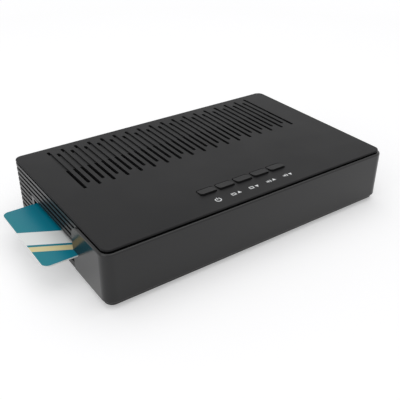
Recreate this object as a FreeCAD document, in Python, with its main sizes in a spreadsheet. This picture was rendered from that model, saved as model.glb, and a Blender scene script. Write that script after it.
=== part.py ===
import FreeCAD, Part
import math
import os
import Sketcher

# A satellite television receiver: a low moulded case with a louvred tray, a vented lid,
# a glossy wrap-round fascia, five lid keys and a smart card standing out of its left side.
# Housing coordinates: X to the right from the case's left face, Y to the rear from its front
# face, Z up from the surface that the feet stand on.

SIZES = [
    # Case
    ("body_width", 171.0, "case, left face to right face"),
    ("body_depth", 105.0, "case, front face to rear face"),
    ("case_height", 28.2, "tray, underside to rim"),
    ("corner_radius", 4.0, "upright corners of tray and lid"),
    ("wall", 2.4, "tray side walls"),
    ("floor_thickness", 2.0, "tray floor"),
    ("fit_gap", 0.15, "clearance between parts that fit into each other"),
    ("overcut", 1.0, "cuts start this far outside a face"),
    ("hair", 0.01, "cuts that only clear a face"),
    ("weld", 0.1, "added pieces sink this far into their base"),
    ("base_bevel", 0.5, "bevel round the underside"),
    ("foot_height", 1.2, "feet, below the tray"),
    ("foot_radius", 5.0, "feet"),
    ("foot_recess", 0.6, "depth of the feet's seats"),
    ("foot_inset_x", 24.0, "foot centre from the side"),
    ("foot_inset_y", 13.0, "foot centre from front or rear"),
    # Lid
    ("gap_height", 1.2, "shadow gap under the lid's edge"),
    ("gap_depth", 1.0, "shadow gap, how far it goes in"),
    ("lid_edge", 0.7, "lid, thickness at its edge"),
    ("lid_round", 0.45, "rounding of the lid's top edge"),
    ("skirt_depth", 4.0, "locating skirt inside the tray"),
    ("skirt_wall", 1.4, "locating skirt"),
    ("skirt_round", 1.0, "inner corners of the skirt"),
    # Louvres
    ("groove_pitch", 3.05, "louvre grooves, one to the next"),
    ("groove_height", 1.5, "louvre groove"),
    ("groove_depth", 1.2, "louvre groove"),
    ("groove_count", 8, "louvre grooves on a side"),
    ("groove_start", 24.0, "louvres begin, from the front face"),
    ("groove_wrap", 3.9, "louvres end on the rear face, from the side"),
    ("window_depth", 1.35, "inner pockets that open the grooves"),
    ("window_width", 8.0, "inner pocket"),
    ("window_pitch", 12.0, "inner pockets, one to the next"),
    ("window_count", 5, "inner pockets on a side"),
    ("window_start", 37.0, "first inner pocket from the front face"),
    # Fascia
    ("fascia_proud", 1.3, "fascia stands out of the case"),
    ("fascia_wall", 2.0, "fascia wall"),
    ("fascia_low", 2.3, "fascia's lower edge above the tray's underside"),
    ("fascia_rise", 0.35, "fascia's upper edge above the tray's rim"),
    ("fascia_round", 1.1, "rounding of the fascia's upper edge"),
    ("fascia_lower_round", 0.5, "rounding of the fascia's lower edge"),
    ("return_depth", 31.0, "fascia's side wings, from the front face"),
    ("return_round", 7.0, "upper rear corner of a wing"),
    # Vents in the lid
    ("vent_width", 1.8, "vent slot"),
    ("vent_pitch", 4.0, "vent slots, one to the next"),
    ("vent_first", 17.5, "first slot from the left face"),
    ("vent_long_count", 18, "long slots"),
    ("vent_long_front", 53.0, "front end of a long slot"),
    ("vent_long_rear", 100.2, "rear end of a long slot"),
    ("vent_short_front", 57.3, "front end of a short slot"),
    ("vent_short_rear", 96.0, "rear end of a short slot"),
    ("vent_open_end", 76.0, "rear end of the open part of a slot"),
    ("vent_groove", 0.7, "depth of the closed part of a slot"),
    ("vent_eye", 2.6, "open eye at the rear end of a slot"),
    ("under_vent_count", 7, "vents under the heat sink"),
    # Keys
    ("key_count", 5, "keys in the lid"),
    ("key_pitch", 11.0, "keys, one to the next"),
    ("key_first", 60.0, "left side of the first key"),
    ("key_width", 9.0, "key cap"),
    ("key_length", 5.4, "key cap, front to rear"),
    ("key_front", 14.4, "front of the key caps"),
    ("key_rise", 1.0, "front lip of a key above the lid"),
    ("key_round", 1.3, "corners of a key cap"),
    ("key_gap", 0.35, "gap round a key cap"),
    ("arm_width", 6.0, "key arm"),
    ("arm_thickness", 1.2, "key arm"),
    ("arm_reach", 1.0, "key arm in front of the cap"),
    ("pivot_y", 25.0, "key pivot from the front face"),
    ("pivot_radius", 1.0, "round root of a key arm"),
    ("pivot_play", 0.05, "running clearance of pivots"),
    ("pivot_land", 0.9, "rail wall round the pivot"),
    ("rail_past", 1.0, "key rail past the end keys"),
    ("key_root", 0.2, "key cap into its arm"),
    # Switches under the keys
    ("switch_y", 17.2, "switch centre from the front face"),
    ("switch_side", 6.0, "switch housing"),
    ("switch_body", 3.1, "switch housing height"),
    ("switch_floor", 1.0, "floor of a switch housing"),
    ("switch_height", 4.3, "switch with its plunger"),
    ("switch_travel", 0.35, "room under the plunger"),
    ("plunger_radius", 1.7, "switch plunger"),
    ("plunger_play", 0.25, "switch plunger in its switch"),
    ("nub_height", 0.5, "nub under a key arm"),
    ("nub_radius", 0.8, "nub under a key arm"),
    ("nub_play", 0.01, "nub to plunger"),
    ("key_board_margin", 8.0, "key board past the end keys"),
    ("key_board_front", 8.5, "front edge of the key board"),
    ("key_board_depth", 14.5, "key board, front to rear"),
    ("key_post_radius", 2.6, "lid posts that carry the key board"),
    ("key_pilot_depth", 4.5, "pilot holes of the key board's posts"),
    # Smart card and its mouth
    ("card_length", 85.6, "ID-1 card"),
    ("card_width", 53.98, "ID-1 card"),
    ("card_thickness", 0.76, "ID-1 card"),
    ("card_corner", 3.18, "ID-1 card"),
    ("card_out", 17.8, "card stands out of the left face"),
    ("card_front", 25.8, "card's front edge from the front face"),
    ("card_level", 13.1, "card's underside above the tray's underside"),
    ("card_play_side", 0.4, "card guide, each side"),
    ("card_play_height", 0.25, "card guide, above and below"),
    ("mouth_height", 6.1, "card mouth insert"),
    ("mouth_drop", 2.3, "insert's lower edge under the card"),
    ("mouth_land", 4.2, "insert behind the card's rear edge"),
    ("mouth_flare", 1.3, "depth of the flared mouth"),
    ("mouth_open_up", 2.9, "flared mouth above the card's underside"),
    ("mouth_open_down", 1.0, "flared mouth under the card's underside"),
    ("mouth_flange", 1.2, "insert's flange behind the wall"),
    ("mouth_flange_lap", 1.2, "flange past the opening"),
    # Chip on the card
    ("chip_side_x", 13.0, "contact plate along the card"),
    ("chip_side_y", 11.8, "contact plate across the card"),
    ("chip_from_end", 9.0, "contact plate from the card's inner end"),
    ("chip_from_edge", 18.1, "contact plate from the card's front edge"),
    ("chip_recess", 0.2, "depth of the plate's seat"),
    ("chip_round", 1.0, "corners of the plate"),
    ("chip_line", 0.25, "grooves between its contacts"),
    ("chip_line_first", 1.9, "first groove from the plate's edge"),
    ("chip_line_inset", 1.0, "grooves stop short of the ends"),
    ("contact_rows", 4, "rows of contacts"),
    # Card reader
    ("reader_start", 4.6, "reader frame from the left face"),
    ("reader_rail", 2.4, "side rails of the reader frame"),
    ("reader_floor", 1.5, "floor of the reader frame"),
    ("reader_end", 4.0, "reader frame past the card's inner end"),
    ("reader_lip", 1.1, "rail lips over the card"),
    ("reader_lid_thickness", 0.4, "sheet lid of the reader"),
    ("reader_board_end", 8.0, "reader board past the frame"),
    ("reader_stop", 1.4, "card channel past the card's inner end"),
    ("spring_room", 1.0, "window in the reader frame round the springs"),
    ("lid_window_x", 12.0, "windows of the sheet lid, from its outer end"),
    ("lid_window_y", 9.0, "windows, from the card guides"),
    ("lid_window_length", 26.0, "windows of the sheet lid"),
    ("lid_window_width", 16.0, "windows of the sheet lid"),
    ("lid_window_round", 3.0, "corners of the windows"),
    ("spring_width", 1.0, "contact spring"),
    ("spring_pitch", 2.54, "contact springs, one to the next"),
    ("spring_thickness", 0.25, "contact spring"),
    ("spring_length", 6.0, "contact spring"),
    ("spring_foot", 2.0, "soldered foot of a spring"),
    ("spring_first", 1.2, "first spring from the plate's edge"),
    ("spring_air", 0.02, "spring tip under the plate"),
    ("spacer_radius", 2.5, "spacers under the reader board"),
    ("spacer_x", 22.0, "outer spacers from the frame's outer end"),
    ("spacer_y", 5.0, "spacers from the frame's sides"),
    # Boards
    ("board_thickness", 1.6, "printed boards"),
    ("board_level", 5.0, "main board above the tray's underside"),
    ("board_inset_x", 11.0, "main board from the side faces"),
    ("board_front", 20.0, "main board's front edge"),
    ("board_rear_gap", 0.6, "main board to the tray's rear wall"),
    ("board_round", 1.0, "corners of the main board"),
    ("pilot_floor", 0.8, "skin under the bosses' pilot holes"),
    ("boss_radius", 3.0, "board bosses"),
    ("boss_inset", 5.0, "boss centre from the board's edges"),
    ("screw_radius", 1.25, "board screws"),
    ("screw_head", 2.6, "board screw heads"),
    ("screw_head_height", 1.5, "board screw heads"),
    ("screw_play", 0.02, "screw in its pilot hole"),
    ("screw_air", 1.0, "board screw tips above the underside"),
    ("key_screw_bite", 4.0, "key board screws in their posts"),
    # Case screws
    ("tube_radius", 3.3, "screw tubes of the tray"),
    ("tube_height", 14.0, "screw tubes above the tray's underside"),
    ("tube_inset_x", 6.9, "rear tubes from the side faces"),
    ("tube_inset_y", 8.0, "rear tubes from the rear face"),
    ("tube_front_x", 10.0, "front tubes from the side faces"),
    ("tube_front_y", 11.0, "front tubes from the front face"),
    ("case_screw_radius", 1.5, "case screws"),
    ("case_screw_head", 2.8, "case screw heads"),
    ("case_screw_head_height", 2.0, "case screw heads"),
    ("case_screw_sink", 8.0, "screw heads sit this far inside the tubes"),
    ("case_screw_length", 13.0, "case screws under the head"),
    ("screw_clearance", 0.3, "case screw in the tray"),
    # Front board
    ("front_board_x", 93.0, "front board, left edge"),
    ("front_board_width", 58.0, "front board"),
    ("front_board_y", 5.0, "front board, front face"),
    ("front_board_thickness", 1.2, "front board"),
    ("front_board_height", 17.0, "front board"),
    ("post_width", 4.0, "slotted posts of the front board"),
    ("post_height", 12.0, "slotted posts"),
    ("post_wall", 1.6, "slotted posts before and behind the board"),
    ("eye_x", 128.0, "infrared receiver"),
    ("eye_width", 6.0, "infrared receiver"),
    ("eye_height", 7.0, "infrared receiver"),
    ("eye_depth", 2.4, "infrared receiver"),
    ("eye_lens", 1.9, "lens of the infrared receiver"),
    ("eye_round", 0.6, "corners of the infrared receiver"),
    ("eye_dome", 1.0, "lens before its body"),
    ("led_x", 140.0, "status lamp"),
    ("led_radius", 1.5, "status lamp"),
    ("led_length", 3.6, "status lamp"),
    ("led_rim", 0.3, "rim of the lamp"),
    ("led_rim_height", 1.0, "rim of the lamp"),
    ("led_round", 1.2, "rounded nose of the lamp"),
    ("sight_height", 14.0, "middle of eye and lamp above the underside"),
    ("sight_opening", 4.0, "half height of the opening before them"),
    # Rear panel and its sockets
    ("panel_thickness", 1.2, "rear panel"),
    ("panel_back", 0.6, "rear panel behind the rear face"),
    ("panel_lap", 1.2, "rear panel into its grooves"),
    ("rear_margin", 6.2, "rear opening from the sides"),
    ("rear_sill", 4.0, "rear opening above the tray's underside"),
    ("socket_play", 0.3, "socket in the rear panel"),
    ("rear_reach", 9.0, "threaded sockets behind the rear face"),
    ("tuner_width", 21.0, "tuner can"),
    ("tuner_length", 48.0, "tuner can"),
    ("tuner_height", 14.5, "tuner can"),
    ("tuner_inset", 2.0, "tuner can from the board's edge"),
    ("tuner_round", 0.6, "corners of the can"),
    ("tuner_hole", 1.2, "trimming holes in the can"),
    ("tuner_hole_depth", 0.6, "trimming holes in the can"),
    ("aerial_level", 7.6, "aerial socket above the board"),
    ("aerial_radius", 4.76, "aerial socket thread"),
    ("aerial_bore", 3.9, "aerial socket bore"),
    ("aerial_flange", 6.0, "aerial socket flange"),
    ("aerial_back", 1.0, "insulator inside the barrel's end"),
    ("aerial_pin_hole", 0.6, "insulator's centre hole"),
    ("aerial_hole_start", 4.0, "centre hole from the can"),
    ("flange_thickness", 1.5, "socket flanges"),
    ("barrel_start", 0.7, "barrels at full radius, off the rear panel"),
    ("barrel_relief", 0.4, "step between a barrel and its neck"),
    ("audio_width", 10.0, "digital audio socket"),
    ("audio_height", 12.0, "digital audio socket"),
    ("audio_level", 6.6, "digital audio barrel above the board"),
    ("audio_radius", 4.15, "digital audio barrel"),
    ("audio_bore", 3.4, "digital audio barrel, inside"),
    ("audio_pin_hole", 1.65, "digital audio socket, centre hole"),
    ("audio_back", 0.8, "insulator inside the barrel's end"),
    ("audio_hole_start", 2.0, "centre hole from the block"),
    ("video_width", 15.0, "digital video socket"),
    ("video_height", 6.2, "digital video socket"),
    ("video_length", 12.0, "digital video socket"),
    ("scart_width", 47.4, "wide video socket"),
    ("scart_height", 14.2, "wide video socket"),
    ("scart_length", 20.0, "wide video socket"),
    ("scart_channel", 1.6, "channel round its insert"),
    ("scart_rim", 1.5, "its outer rim"),
    ("scart_depth", 9.0, "depth of the channel"),
    ("scart_pitch", 3.81, "contacts of the wide socket"),
    ("scart_round", 1.4, "corners of the channel"),
    ("scart_insert_round", 0.8, "corners of the insert"),
    ("blade_width", 0.9, "contact openings"),
    ("blade_height", 2.2, "contact openings"),
    ("blade_first", 1.6, "lower row from the insert's side"),
    ("blade_second", 3.2, "upper row from the insert's side"),
    ("blade_edge", 1.2, "rows from the insert's edges"),
    ("blade_count", 10, "contact openings in a row"),
    ("usb_width", 13.2, "data socket"),
    ("usb_height", 5.9, "data socket"),
    ("usb_length", 14.0, "data socket"),
    ("shell_sheet", 0.4, "sheet of the metal shells"),
    ("shell_back", 1.0, "rear wall of the shells"),
    ("insert_base", 3.0, "block that carries a tongue"),
    ("tongue_inset", 1.4, "tongue from the shell's sides"),
    ("video_tongue", 1.4, "tongue of the video socket"),
    ("usb_tongue", 1.8, "tongue of the data socket"),
    ("usb_tongue_drop", 2.0, "tongue's middle under the shell's top"),
    ("lan_width", 16.0, "network socket"),
    ("lan_height", 13.4, "network socket"),
    ("lan_length", 18.0, "network socket"),
    ("lan_mouth_width", 11.8, "network socket, mouth"),
    ("lan_mouth_height", 8.2, "network socket, mouth"),
    ("lan_mouth_depth", 13.0, "network socket, mouth"),
    ("lan_mouth_low", 2.4, "mouth above the board"),
    ("lan_key_width", 6.0, "latch channel under the mouth"),
    ("lan_key_low", 1.2, "latch channel above the board"),
    ("lan_key_height", 3.0, "latch channel"),
    ("finger_count", 8, "contacts of the network socket"),
    ("finger_first", 1.3, "first contact from the mouth's side"),
    ("finger_pitch", 1.27, "contacts, one to the next"),
    ("finger_side", 0.5, "contact wire"),
    ("finger_length", 8.0, "free length of a contact"),
    ("finger_start", 11.0, "contacts from the socket's face"),
    ("finger_drop", 1.2, "contacts under the mouth's top"),
    ("dc_width", 9.2, "power socket"),
    ("dc_height", 11.0, "power socket"),
    ("dc_length", 14.0, "power socket"),
    ("dc_bore", 3.1, "power socket, bore"),
    ("dc_pin", 1.0, "power socket, centre pin"),
    ("dc_pin_back", 1.0, "pin inside the socket's face"),
    ("dc_depth", 9.5, "power socket, depth"),
    ("dc_level", 6.4, "power socket bore above the board"),
    ("socket_gap", 2.2, "sockets, one to the next"),
    ("socket_first", 1.0, "first socket from the board's edge"),
    # Parts on the main board
    ("soc_side", 19.0, "main chip"),
    ("soc_height", 1.3, "main chip"),
    ("soc_x", 112.0, "main chip centre"),
    ("soc_y", 46.0, "main chip centre"),
    ("soc_round", 0.5, "corners of the main chip"),
    ("sink_side", 28.0, "heat sink"),
    ("sink_base", 2.0, "heat sink base"),
    ("sink_height", 9.0, "heat sink"),
    ("fin_thickness", 1.2, "heat sink fin"),
    ("fin_count", 8, "heat sink fins"),
    ("chip_height", 1.1, "memory chips"),
    ("can_radius", 4.0, "large capacitors"),
    ("can_height", 11.0, "large capacitors"),
    ("small_can_radius", 3.1, "small capacitors"),
    ("small_can_height", 7.0, "small capacitors"),
    ("coil_side", 7.0, "power coils"),
    ("coil_height", 4.0, "power coils"),
    ("coil_pitch", 9.0, "power coils, one to the next"),
    ("coil_inset", 1.0, "coils from the board's front edge"),
    ("crystal_length", 11.0, "crystal can"),
    ("crystal_width", 4.6, "crystal can"),
    ("crystal_height", 3.5, "crystal can"),
    ("crystal_round", 2.0, "crystal can's corners"),
    ("dot_length", 1.6, "small chip parts"),
    ("dot_width", 0.8, "small chip parts"),
    ("dot_height", 0.6, "small chip parts"),
    ("dot_pitch", 2.0, "small parts along a row"),
    ("dot_row_pitch", 1.8, "rows of small parts"),
    ("header_width", 12.0, "ribbon headers"),
    ("header_depth", 4.0, "ribbon headers"),
    ("header_height", 2.6, "ribbon headers"),
    ("header_lift", 8.0, "front board's header above the floor"),
    ("header_inset_x", 14.0, "its middle from the board's left edge"),
    ("header_inset_y", 4.0, "main board's first header from the front edge"),
    ("header_step", 10.0, "second header behind the first"),
    ("header_gap", 8.0, "third header from the reader board"),
    ("ribbon_width", 9.0, "ribbons"),
    ("ribbon_thickness", 0.3, "ribbons"),
    ("ribbon_inner", 0.6, "inside of a ribbon's bends"),
    ("ribbon_outer", 0.9, "outside of a ribbon's bends"),
]

doc = FreeCAD.newDocument("satellite_receiver")
sheet = doc.addObject("Spreadsheet::Sheet", "Sizes")


class Size:
    """A length in millimetres that knows the sheet formula it comes from."""

    def __init__(self, value, formula):
        self.value = value
        self.formula = formula

    def __add__(self, other):
        other = as_size(other)
        return Size(self.value + other.value, "(%s + %s)" % (self.formula, other.formula))

    def __sub__(self, other):
        other = as_size(other)
        return Size(self.value - other.value, "(%s - %s)" % (self.formula, other.formula))

    def __mul__(self, other):
        other = as_size(other)
        return Size(self.value * other.value, "(%s * %s)" % (self.formula, other.formula))

    def __truediv__(self, other):
        other = as_size(other)
        return Size(self.value / other.value, "(%s / %s)" % (self.formula, other.formula))

    def __radd__(self, other):
        return as_size(other) + self

    def __rsub__(self, other):
        return as_size(other) - self

    def __rmul__(self, other):
        return as_size(other) * self

    def __neg__(self):
        return Size(-self.value, "(-%s)" % self.formula)


def counted(size):
    """The numbers from nought for a count."""
    return range(int(size.value))


def as_size(number):
    """A bare number as a Size; a Size as itself."""
    if isinstance(number, Size):
        return number
    return Size(float(number), "(%r)" % float(number))


class Sheet:
    """Every driving dimension by its name."""


def fill_sheet():
    """Write the driving dimensions into the sheet and hand them back by name."""
    sizes = Sheet()
    for row, (alias, value, meaning) in enumerate(SIZES, start=1):
        sheet.set("A%d" % row, alias)
        sheet.set("B%d" % row, str(value))
        sheet.setAlias("B%d" % row, alias)
        sheet.set("C%d" % row, meaning)
    doc.recompute()
    for alias, value, meaning in SIZES:
        setattr(sizes, alias, Size(float(sheet.get(alias)), "Sizes." + alias))
    return sizes


S = fill_sheet()

# Levels and places that several pieces share
base_z = S.foot_height
floor_z = base_z + S.floor_thickness
rim_z = base_z + S.case_height
lid_low = rim_z + S.gap_height
lid_top = lid_low + S.lid_edge
card_z = base_z + S.card_level
card_end = S.card_length - S.card_out
card_rear = S.card_front + S.card_width
board_z = base_z + S.board_level
board_top = board_z + S.board_thickness
inner_rear = S.body_depth - S.wall
board_right = S.body_width - S.board_inset_x
board_rear = inner_rear - S.board_rear_gap
socket_face = S.body_depth - S.panel_back + S.socket_play
arm_top = rim_z - S.key_gap
arm_low = arm_top - S.arm_thickness
pivot_z = arm_top - S.pivot_radius
key_board_top = arm_low - S.nub_height - S.nub_play - S.switch_height
key_row_end = S.key_first + S.key_pitch * (S.key_count - 1) + S.key_width
shift_x = -(S.body_width + S.fascia_proud - S.card_out) / 2
shift_y = -(S.body_depth + S.rear_reach - S.fascia_proud) / 2

NODES = []
TOUCHING = 1e-4
PLANES = {"top": ("XY_Plane", 1), "front": ("XZ_Plane", -1), "side": ("YZ_Plane", 1)}
AXES = {"x": "X_Axis", "y": "Y_Axis", "z": "Z_Axis"}


def bind(thing, prop, size):
    """Give a property its value and tie it to the sheet."""
    thing.setExpression(prop, as_size(size).formula)


def keep(thing, name):
    """Make an object a sub-part: its label names its file, its placement is the shared frame."""
    thing.Label = name
    bind(thing, "Placement.Base.x", shift_x)
    bind(thing, "Placement.Base.y", shift_y)
    NODES.append(thing)
    return thing


def place_point(sketch, line, end, x, y):
    """Tie one end of a sketch line to a place measured from the sketch's origin."""
    for kind, size in (("DistanceX", x), ("DistanceY", y)):
        if size is not None:
            number = sketch.addConstraint(Sketcher.Constraint(kind, -1, 1, line, end, size.value))
            bind(sketch, "Constraints[%d]" % number, size)


def outline(*corners):
    """A closed outline through corners (x, y), where (x, y, r) is a rounded corner."""
    def draw(sketch):
        spots = [(as_size(c[0]), as_size(c[1])) for c in corners]
        rounds = [as_size(c[2]) if len(c) > 2 else None for c in corners]
        count = len(spots)
        points = [FreeCAD.Vector(x.value, y.value, 0) for x, y in spots]
        ends = []
        for i in range(count):
            before = (points[i - 1] - points[i]).normalize()
            after = (points[(i + 1) % count] - points[i]).normalize()
            if rounds[i] is None:
                ends.append((points[i], points[i], None, 0))
                continue
            half = before.getAngle(after) / 2
            reach = rounds[i].value / math.tan(half)
            middle = (before + after).normalize() * (rounds[i].value / math.sin(half))
            turn = before.cross(after).z
            ends.append((points[i] + before * reach, points[i] + after * reach, points[i] + middle, turn))
        lines = []
        for i in range(count):
            line = Part.LineSegment(ends[i][1], ends[(i + 1) % count][0])
            lines.append(sketch.addGeometry(line, False))
        for i in range(count):
            leaving, coming = lines[i], lines[i - 1]
            start, finish, centre, turn = ends[i]
            if centre is None:
                sketch.addConstraint(Sketcher.Constraint("Coincident", coming, 2, leaving, 1))
                continue
            first, last = (start, finish) if turn < 0 else (finish, start)
            low = math.atan2(first.y - centre.y, first.x - centre.x)
            high = math.atan2(last.y - centre.y, last.x - centre.x)
            circle = Part.Circle(centre, FreeCAD.Vector(0, 0, 1), rounds[i].value)
            arc = sketch.addGeometry(Part.ArcOfCircle(circle, low, high), False)
            come_end, leave_end = (1, 2) if turn < 0 else (2, 1)
            sketch.addConstraint(Sketcher.Constraint("Tangent", coming, 2, arc, come_end))
            sketch.addConstraint(Sketcher.Constraint("Tangent", leaving, 1, arc, leave_end))
            number = sketch.addConstraint(Sketcher.Constraint("Radius", arc, rounds[i].value))
            bind(sketch, "Constraints[%d]" % number, rounds[i])
        for i in range(count):
            x, y = spots[i]
            next_x, next_y = spots[(i + 1) % count]
            last_x, last_y = spots[i - 1]
            upright = x.formula == next_x.formula
            level = y.formula == next_y.formula
            if upright:
                sketch.addConstraint(Sketcher.Constraint("Vertical", lines[i]))
                place_point(sketch, lines[i], 1, x, None)
            if level:
                sketch.addConstraint(Sketcher.Constraint("Horizontal", lines[i]))
                place_point(sketch, lines[i], 1, None, y)
            known_x = upright or x.formula == last_x.formula
            known_y = level or y.formula == last_y.formula
            if rounds[i] is None:
                place_point(sketch, lines[i], 1, None if known_x else x, None if known_y else y)
    return draw


def box(x, y, width, height, radius=None):
    """A rectangle from its lower left corner, with rounded corners if a radius is given."""
    x, y = as_size(x), as_size(y)
    right, upper = x + width, y + height
    corners = [(x, y), (right, y), (right, upper), (x, upper)]
    if radius is not None:
        corners = [corner + (radius,) for corner in corners]
    return outline(*corners)


def disc(x, y, radius):
    """A circle."""
    x, y, radius = as_size(x), as_size(y), as_size(radius)

    def draw(sketch):
        circle = Part.Circle(FreeCAD.Vector(x.value, y.value, 0), FreeCAD.Vector(0, 0, 1), radius.value)
        ring = sketch.addGeometry(circle, False)
        number = sketch.addConstraint(Sketcher.Constraint("Radius", ring, radius.value))
        bind(sketch, "Constraints[%d]" % number, radius)
        place_point(sketch, ring, 3, x, y)
    return draw


def slot(x, front, rear, width):
    """A round-ended slot along the sketch's Y."""
    x, front, rear, width = as_size(x), as_size(front), as_size(rear), as_size(width)
    half = width / 2

    def draw(sketch):
        up = FreeCAD.Vector(0, 0, 1)
        low = FreeCAD.Vector(x.value, (front + half).value, 0)
        high = FreeCAD.Vector(x.value, (rear - half).value, 0)
        side = FreeCAD.Vector(half.value, 0, 0)
        right = sketch.addGeometry(Part.LineSegment(low + side, high + side), False)
        left = sketch.addGeometry(Part.LineSegment(high - side, low - side), False)
        over = sketch.addGeometry(Part.ArcOfCircle(Part.Circle(high, up, half.value), 0, math.pi), False)
        lower = Part.ArcOfCircle(Part.Circle(low, up, half.value), math.pi, 2 * math.pi)
        under = sketch.addGeometry(lower, False)
        for line, line_end, arc, arc_end in ((right, 2, over, 1), (left, 1, over, 2),
                                             (left, 2, under, 1), (right, 1, under, 2)):
            sketch.addConstraint(Sketcher.Constraint("Tangent", line, line_end, arc, arc_end))
        sketch.addConstraint(Sketcher.Constraint("Vertical", right))
        place_point(sketch, right, 1, x + half, None)
        place_point(sketch, left, 1, x - half, None)
        place_point(sketch, over, 3, None, rear - half)
        place_point(sketch, under, 3, None, front + half)
    return draw


class Piece:
    """One moulded, pressed or turned piece, built up feature by feature."""

    def __init__(self, name):
        self.name = name
        self.body = doc.addObject("PartDesign::Body", name)
        self.steps = 0

    def origin(self, role):
        """One of the body's own planes or axes."""
        return [f for f in self.body.Origin.OriginFeatures if f.Role == role][0]

    def feature(self, kind):
        """A new feature of the body."""
        self.steps += 1
        return self.body.newObject("PartDesign::" + kind, "%s_%d" % (self.name, self.steps))

    def sketch(self, plane, start, drawings):
        """A sketch on a plane at a distance from the origin."""
        role, sign = PLANES[plane]
        self.steps += 1
        sketch = self.body.newObject("Sketcher::SketchObject", "%s_sketch_%d" % (self.name, self.steps))
        sketch.AttachmentSupport = [(self.origin(role), "")]
        sketch.MapMode = "FlatFace"
        bind(sketch, "AttachmentOffset.Base.z", as_size(start) * sign)
        for drawing in drawings:
            drawing(sketch)
        return sketch

    def pad(self, plane, start, length, *drawings):
        """Add material from start along the plane's positive axis."""
        sketch = self.sketch(plane, start, drawings)
        pad = self.feature("Pad")
        pad.Profile = sketch
        pad.Reversed = PLANES[plane][1] < 0
        bind(pad, "Length", length)
        doc.recompute()
        return pad

    def pocket(self, plane, start, length, *drawings):
        """Take material away from start along the plane's positive axis."""
        before = self.body.Shape.Volume
        sketch = self.sketch(plane, start, drawings)
        pocket = self.feature("Pocket")
        pocket.Profile = sketch
        pocket.Type = "Length"
        pocket.Reversed = PLANES[plane][1] > 0
        bind(pocket, "Length", length)
        doc.recompute()
        if self.body.Shape.Volume >= before - TOUCHING:
            raise RuntimeError("a pocket in %s cuts nothing" % self.name)
        return pocket

    def repeat(self, features, axis, spacing, count):
        """Repeat features along an axis."""
        pattern = self.feature("LinearPattern")
        pattern.Originals = features
        pattern.Direction = (self.origin(AXES[axis]), [""])
        pattern.Mode = "Spacing"
        bind(pattern, "Offset", spacing)
        bind(pattern, "Occurrences", count)
        self.body.Tip = pattern
        doc.recompute()
        return pattern

    def dress(self, kind, prop, size, wanted):
        """Round or bevel the edges that a test picks by their middle and their box."""
        base = self.body.Tip
        names = ["Edge%d" % (n + 1) for n, edge in enumerate(base.Shape.Edges) if wanted(edge)]
        if not names:
            raise RuntimeError("no edge to round in %s" % self.name)
        dressed = self.feature(kind)
        dressed.Base = (base, names)
        bind(dressed, prop, size)
        self.body.Tip = dressed
        doc.recompute()
        return dressed

    def done(self):
        """Keep the piece as a sub-part."""
        return keep(self.body, self.name)


def level_edge(height):
    """Edges that lie at one height."""
    def wanted(edge):
        span = edge.BoundBox
        return abs(span.ZMin - height.value) < TOUCHING and abs(span.ZMax - height.value) < TOUCHING
    return wanted


def within(edge, x0, x1, y0, y1):
    """Whether an edge's box lies inside a window in plan."""
    span = edge.BoundBox
    return span.XMin > x0 and span.XMax < x1 and span.YMin > y0 and span.YMax < y1


def locate(thing, x, y, z):
    """Tie a primitive's place to the sheet."""
    for axis, size in (("x", x), ("y", y), ("z", z)):
        bind(thing, "Placement.Base." + axis, size)


def block(name, x, y, z, width, depth, height):
    """A plain block from its lowest corner."""
    solid = doc.addObject("Part::Box", name)
    bind(solid, "Length", width)
    bind(solid, "Width", depth)
    bind(solid, "Height", height)
    locate(solid, x, y, z)
    return solid


def rod(name, x, y, z, radius, length, axis="z"):
    """A round bar from the middle of its first end."""
    solid = doc.addObject("Part::Cylinder", name)
    bind(solid, "Radius", radius)
    bind(solid, "Height", length)
    if axis == "y":
        solid.Placement.Rotation = FreeCAD.Rotation(FreeCAD.Vector(1, 0, 0), -90)

    locate(solid, x, y, z)
    return solid


def fused(name, *solids):
    """Solids joined into one."""
    joined = doc.addObject("Part::MultiFuse", name)
    joined.Shapes = list(solids)
    joined.Refine = True
    return joined


def carved(name, solid, *tools):
    """A solid with tools cut out of it."""
    for number, tool in enumerate(tools, start=1):
        cut = doc.addObject("Part::Cut", name if number == len(tools) else "%s_cut_%d" % (name, number))
        cut.Base = solid
        cut.Tool = tool
        cut.Refine = True
        solid = cut
    return solid


def group(name, solids):
    """Like pieces that share a node as separate solids."""
    together = doc.addObject("Part::Compound", name)
    together.Links = list(solids)
    return keep(together, name)


def screw(name, x, y, head_z, radius, length, head_radius, head_height, up):
    """A pan-head screw: up is 1 where its point is above its head, -1 where it is below."""
    head_low = head_z if up < 0 else head_z - head_height
    shank_low = head_z - length if up < 0 else head_z
    head = rod(name + "_head", x, y, head_low, head_radius, head_height)
    shank = rod(name + "_shank", x, y, shank_low, radius, length)
    return fused(name, head, shank)


# Places of fixings, each named once and used by every piece that they go through
tube_places = [
    (S.tube_front_x, S.tube_front_y),
    (S.body_width - S.tube_front_x, S.tube_front_y),
    (S.tube_inset_x, S.body_depth - S.tube_inset_y),
    (S.body_width - S.tube_inset_x, S.body_depth - S.tube_inset_y),
]
foot_places = [
    (S.foot_inset_x, S.foot_inset_y),
    (S.body_width - S.foot_inset_x, S.foot_inset_y),
    (S.foot_inset_x, S.body_depth - S.foot_inset_y),
    (S.body_width - S.foot_inset_x, S.body_depth - S.foot_inset_y),
]


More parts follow.
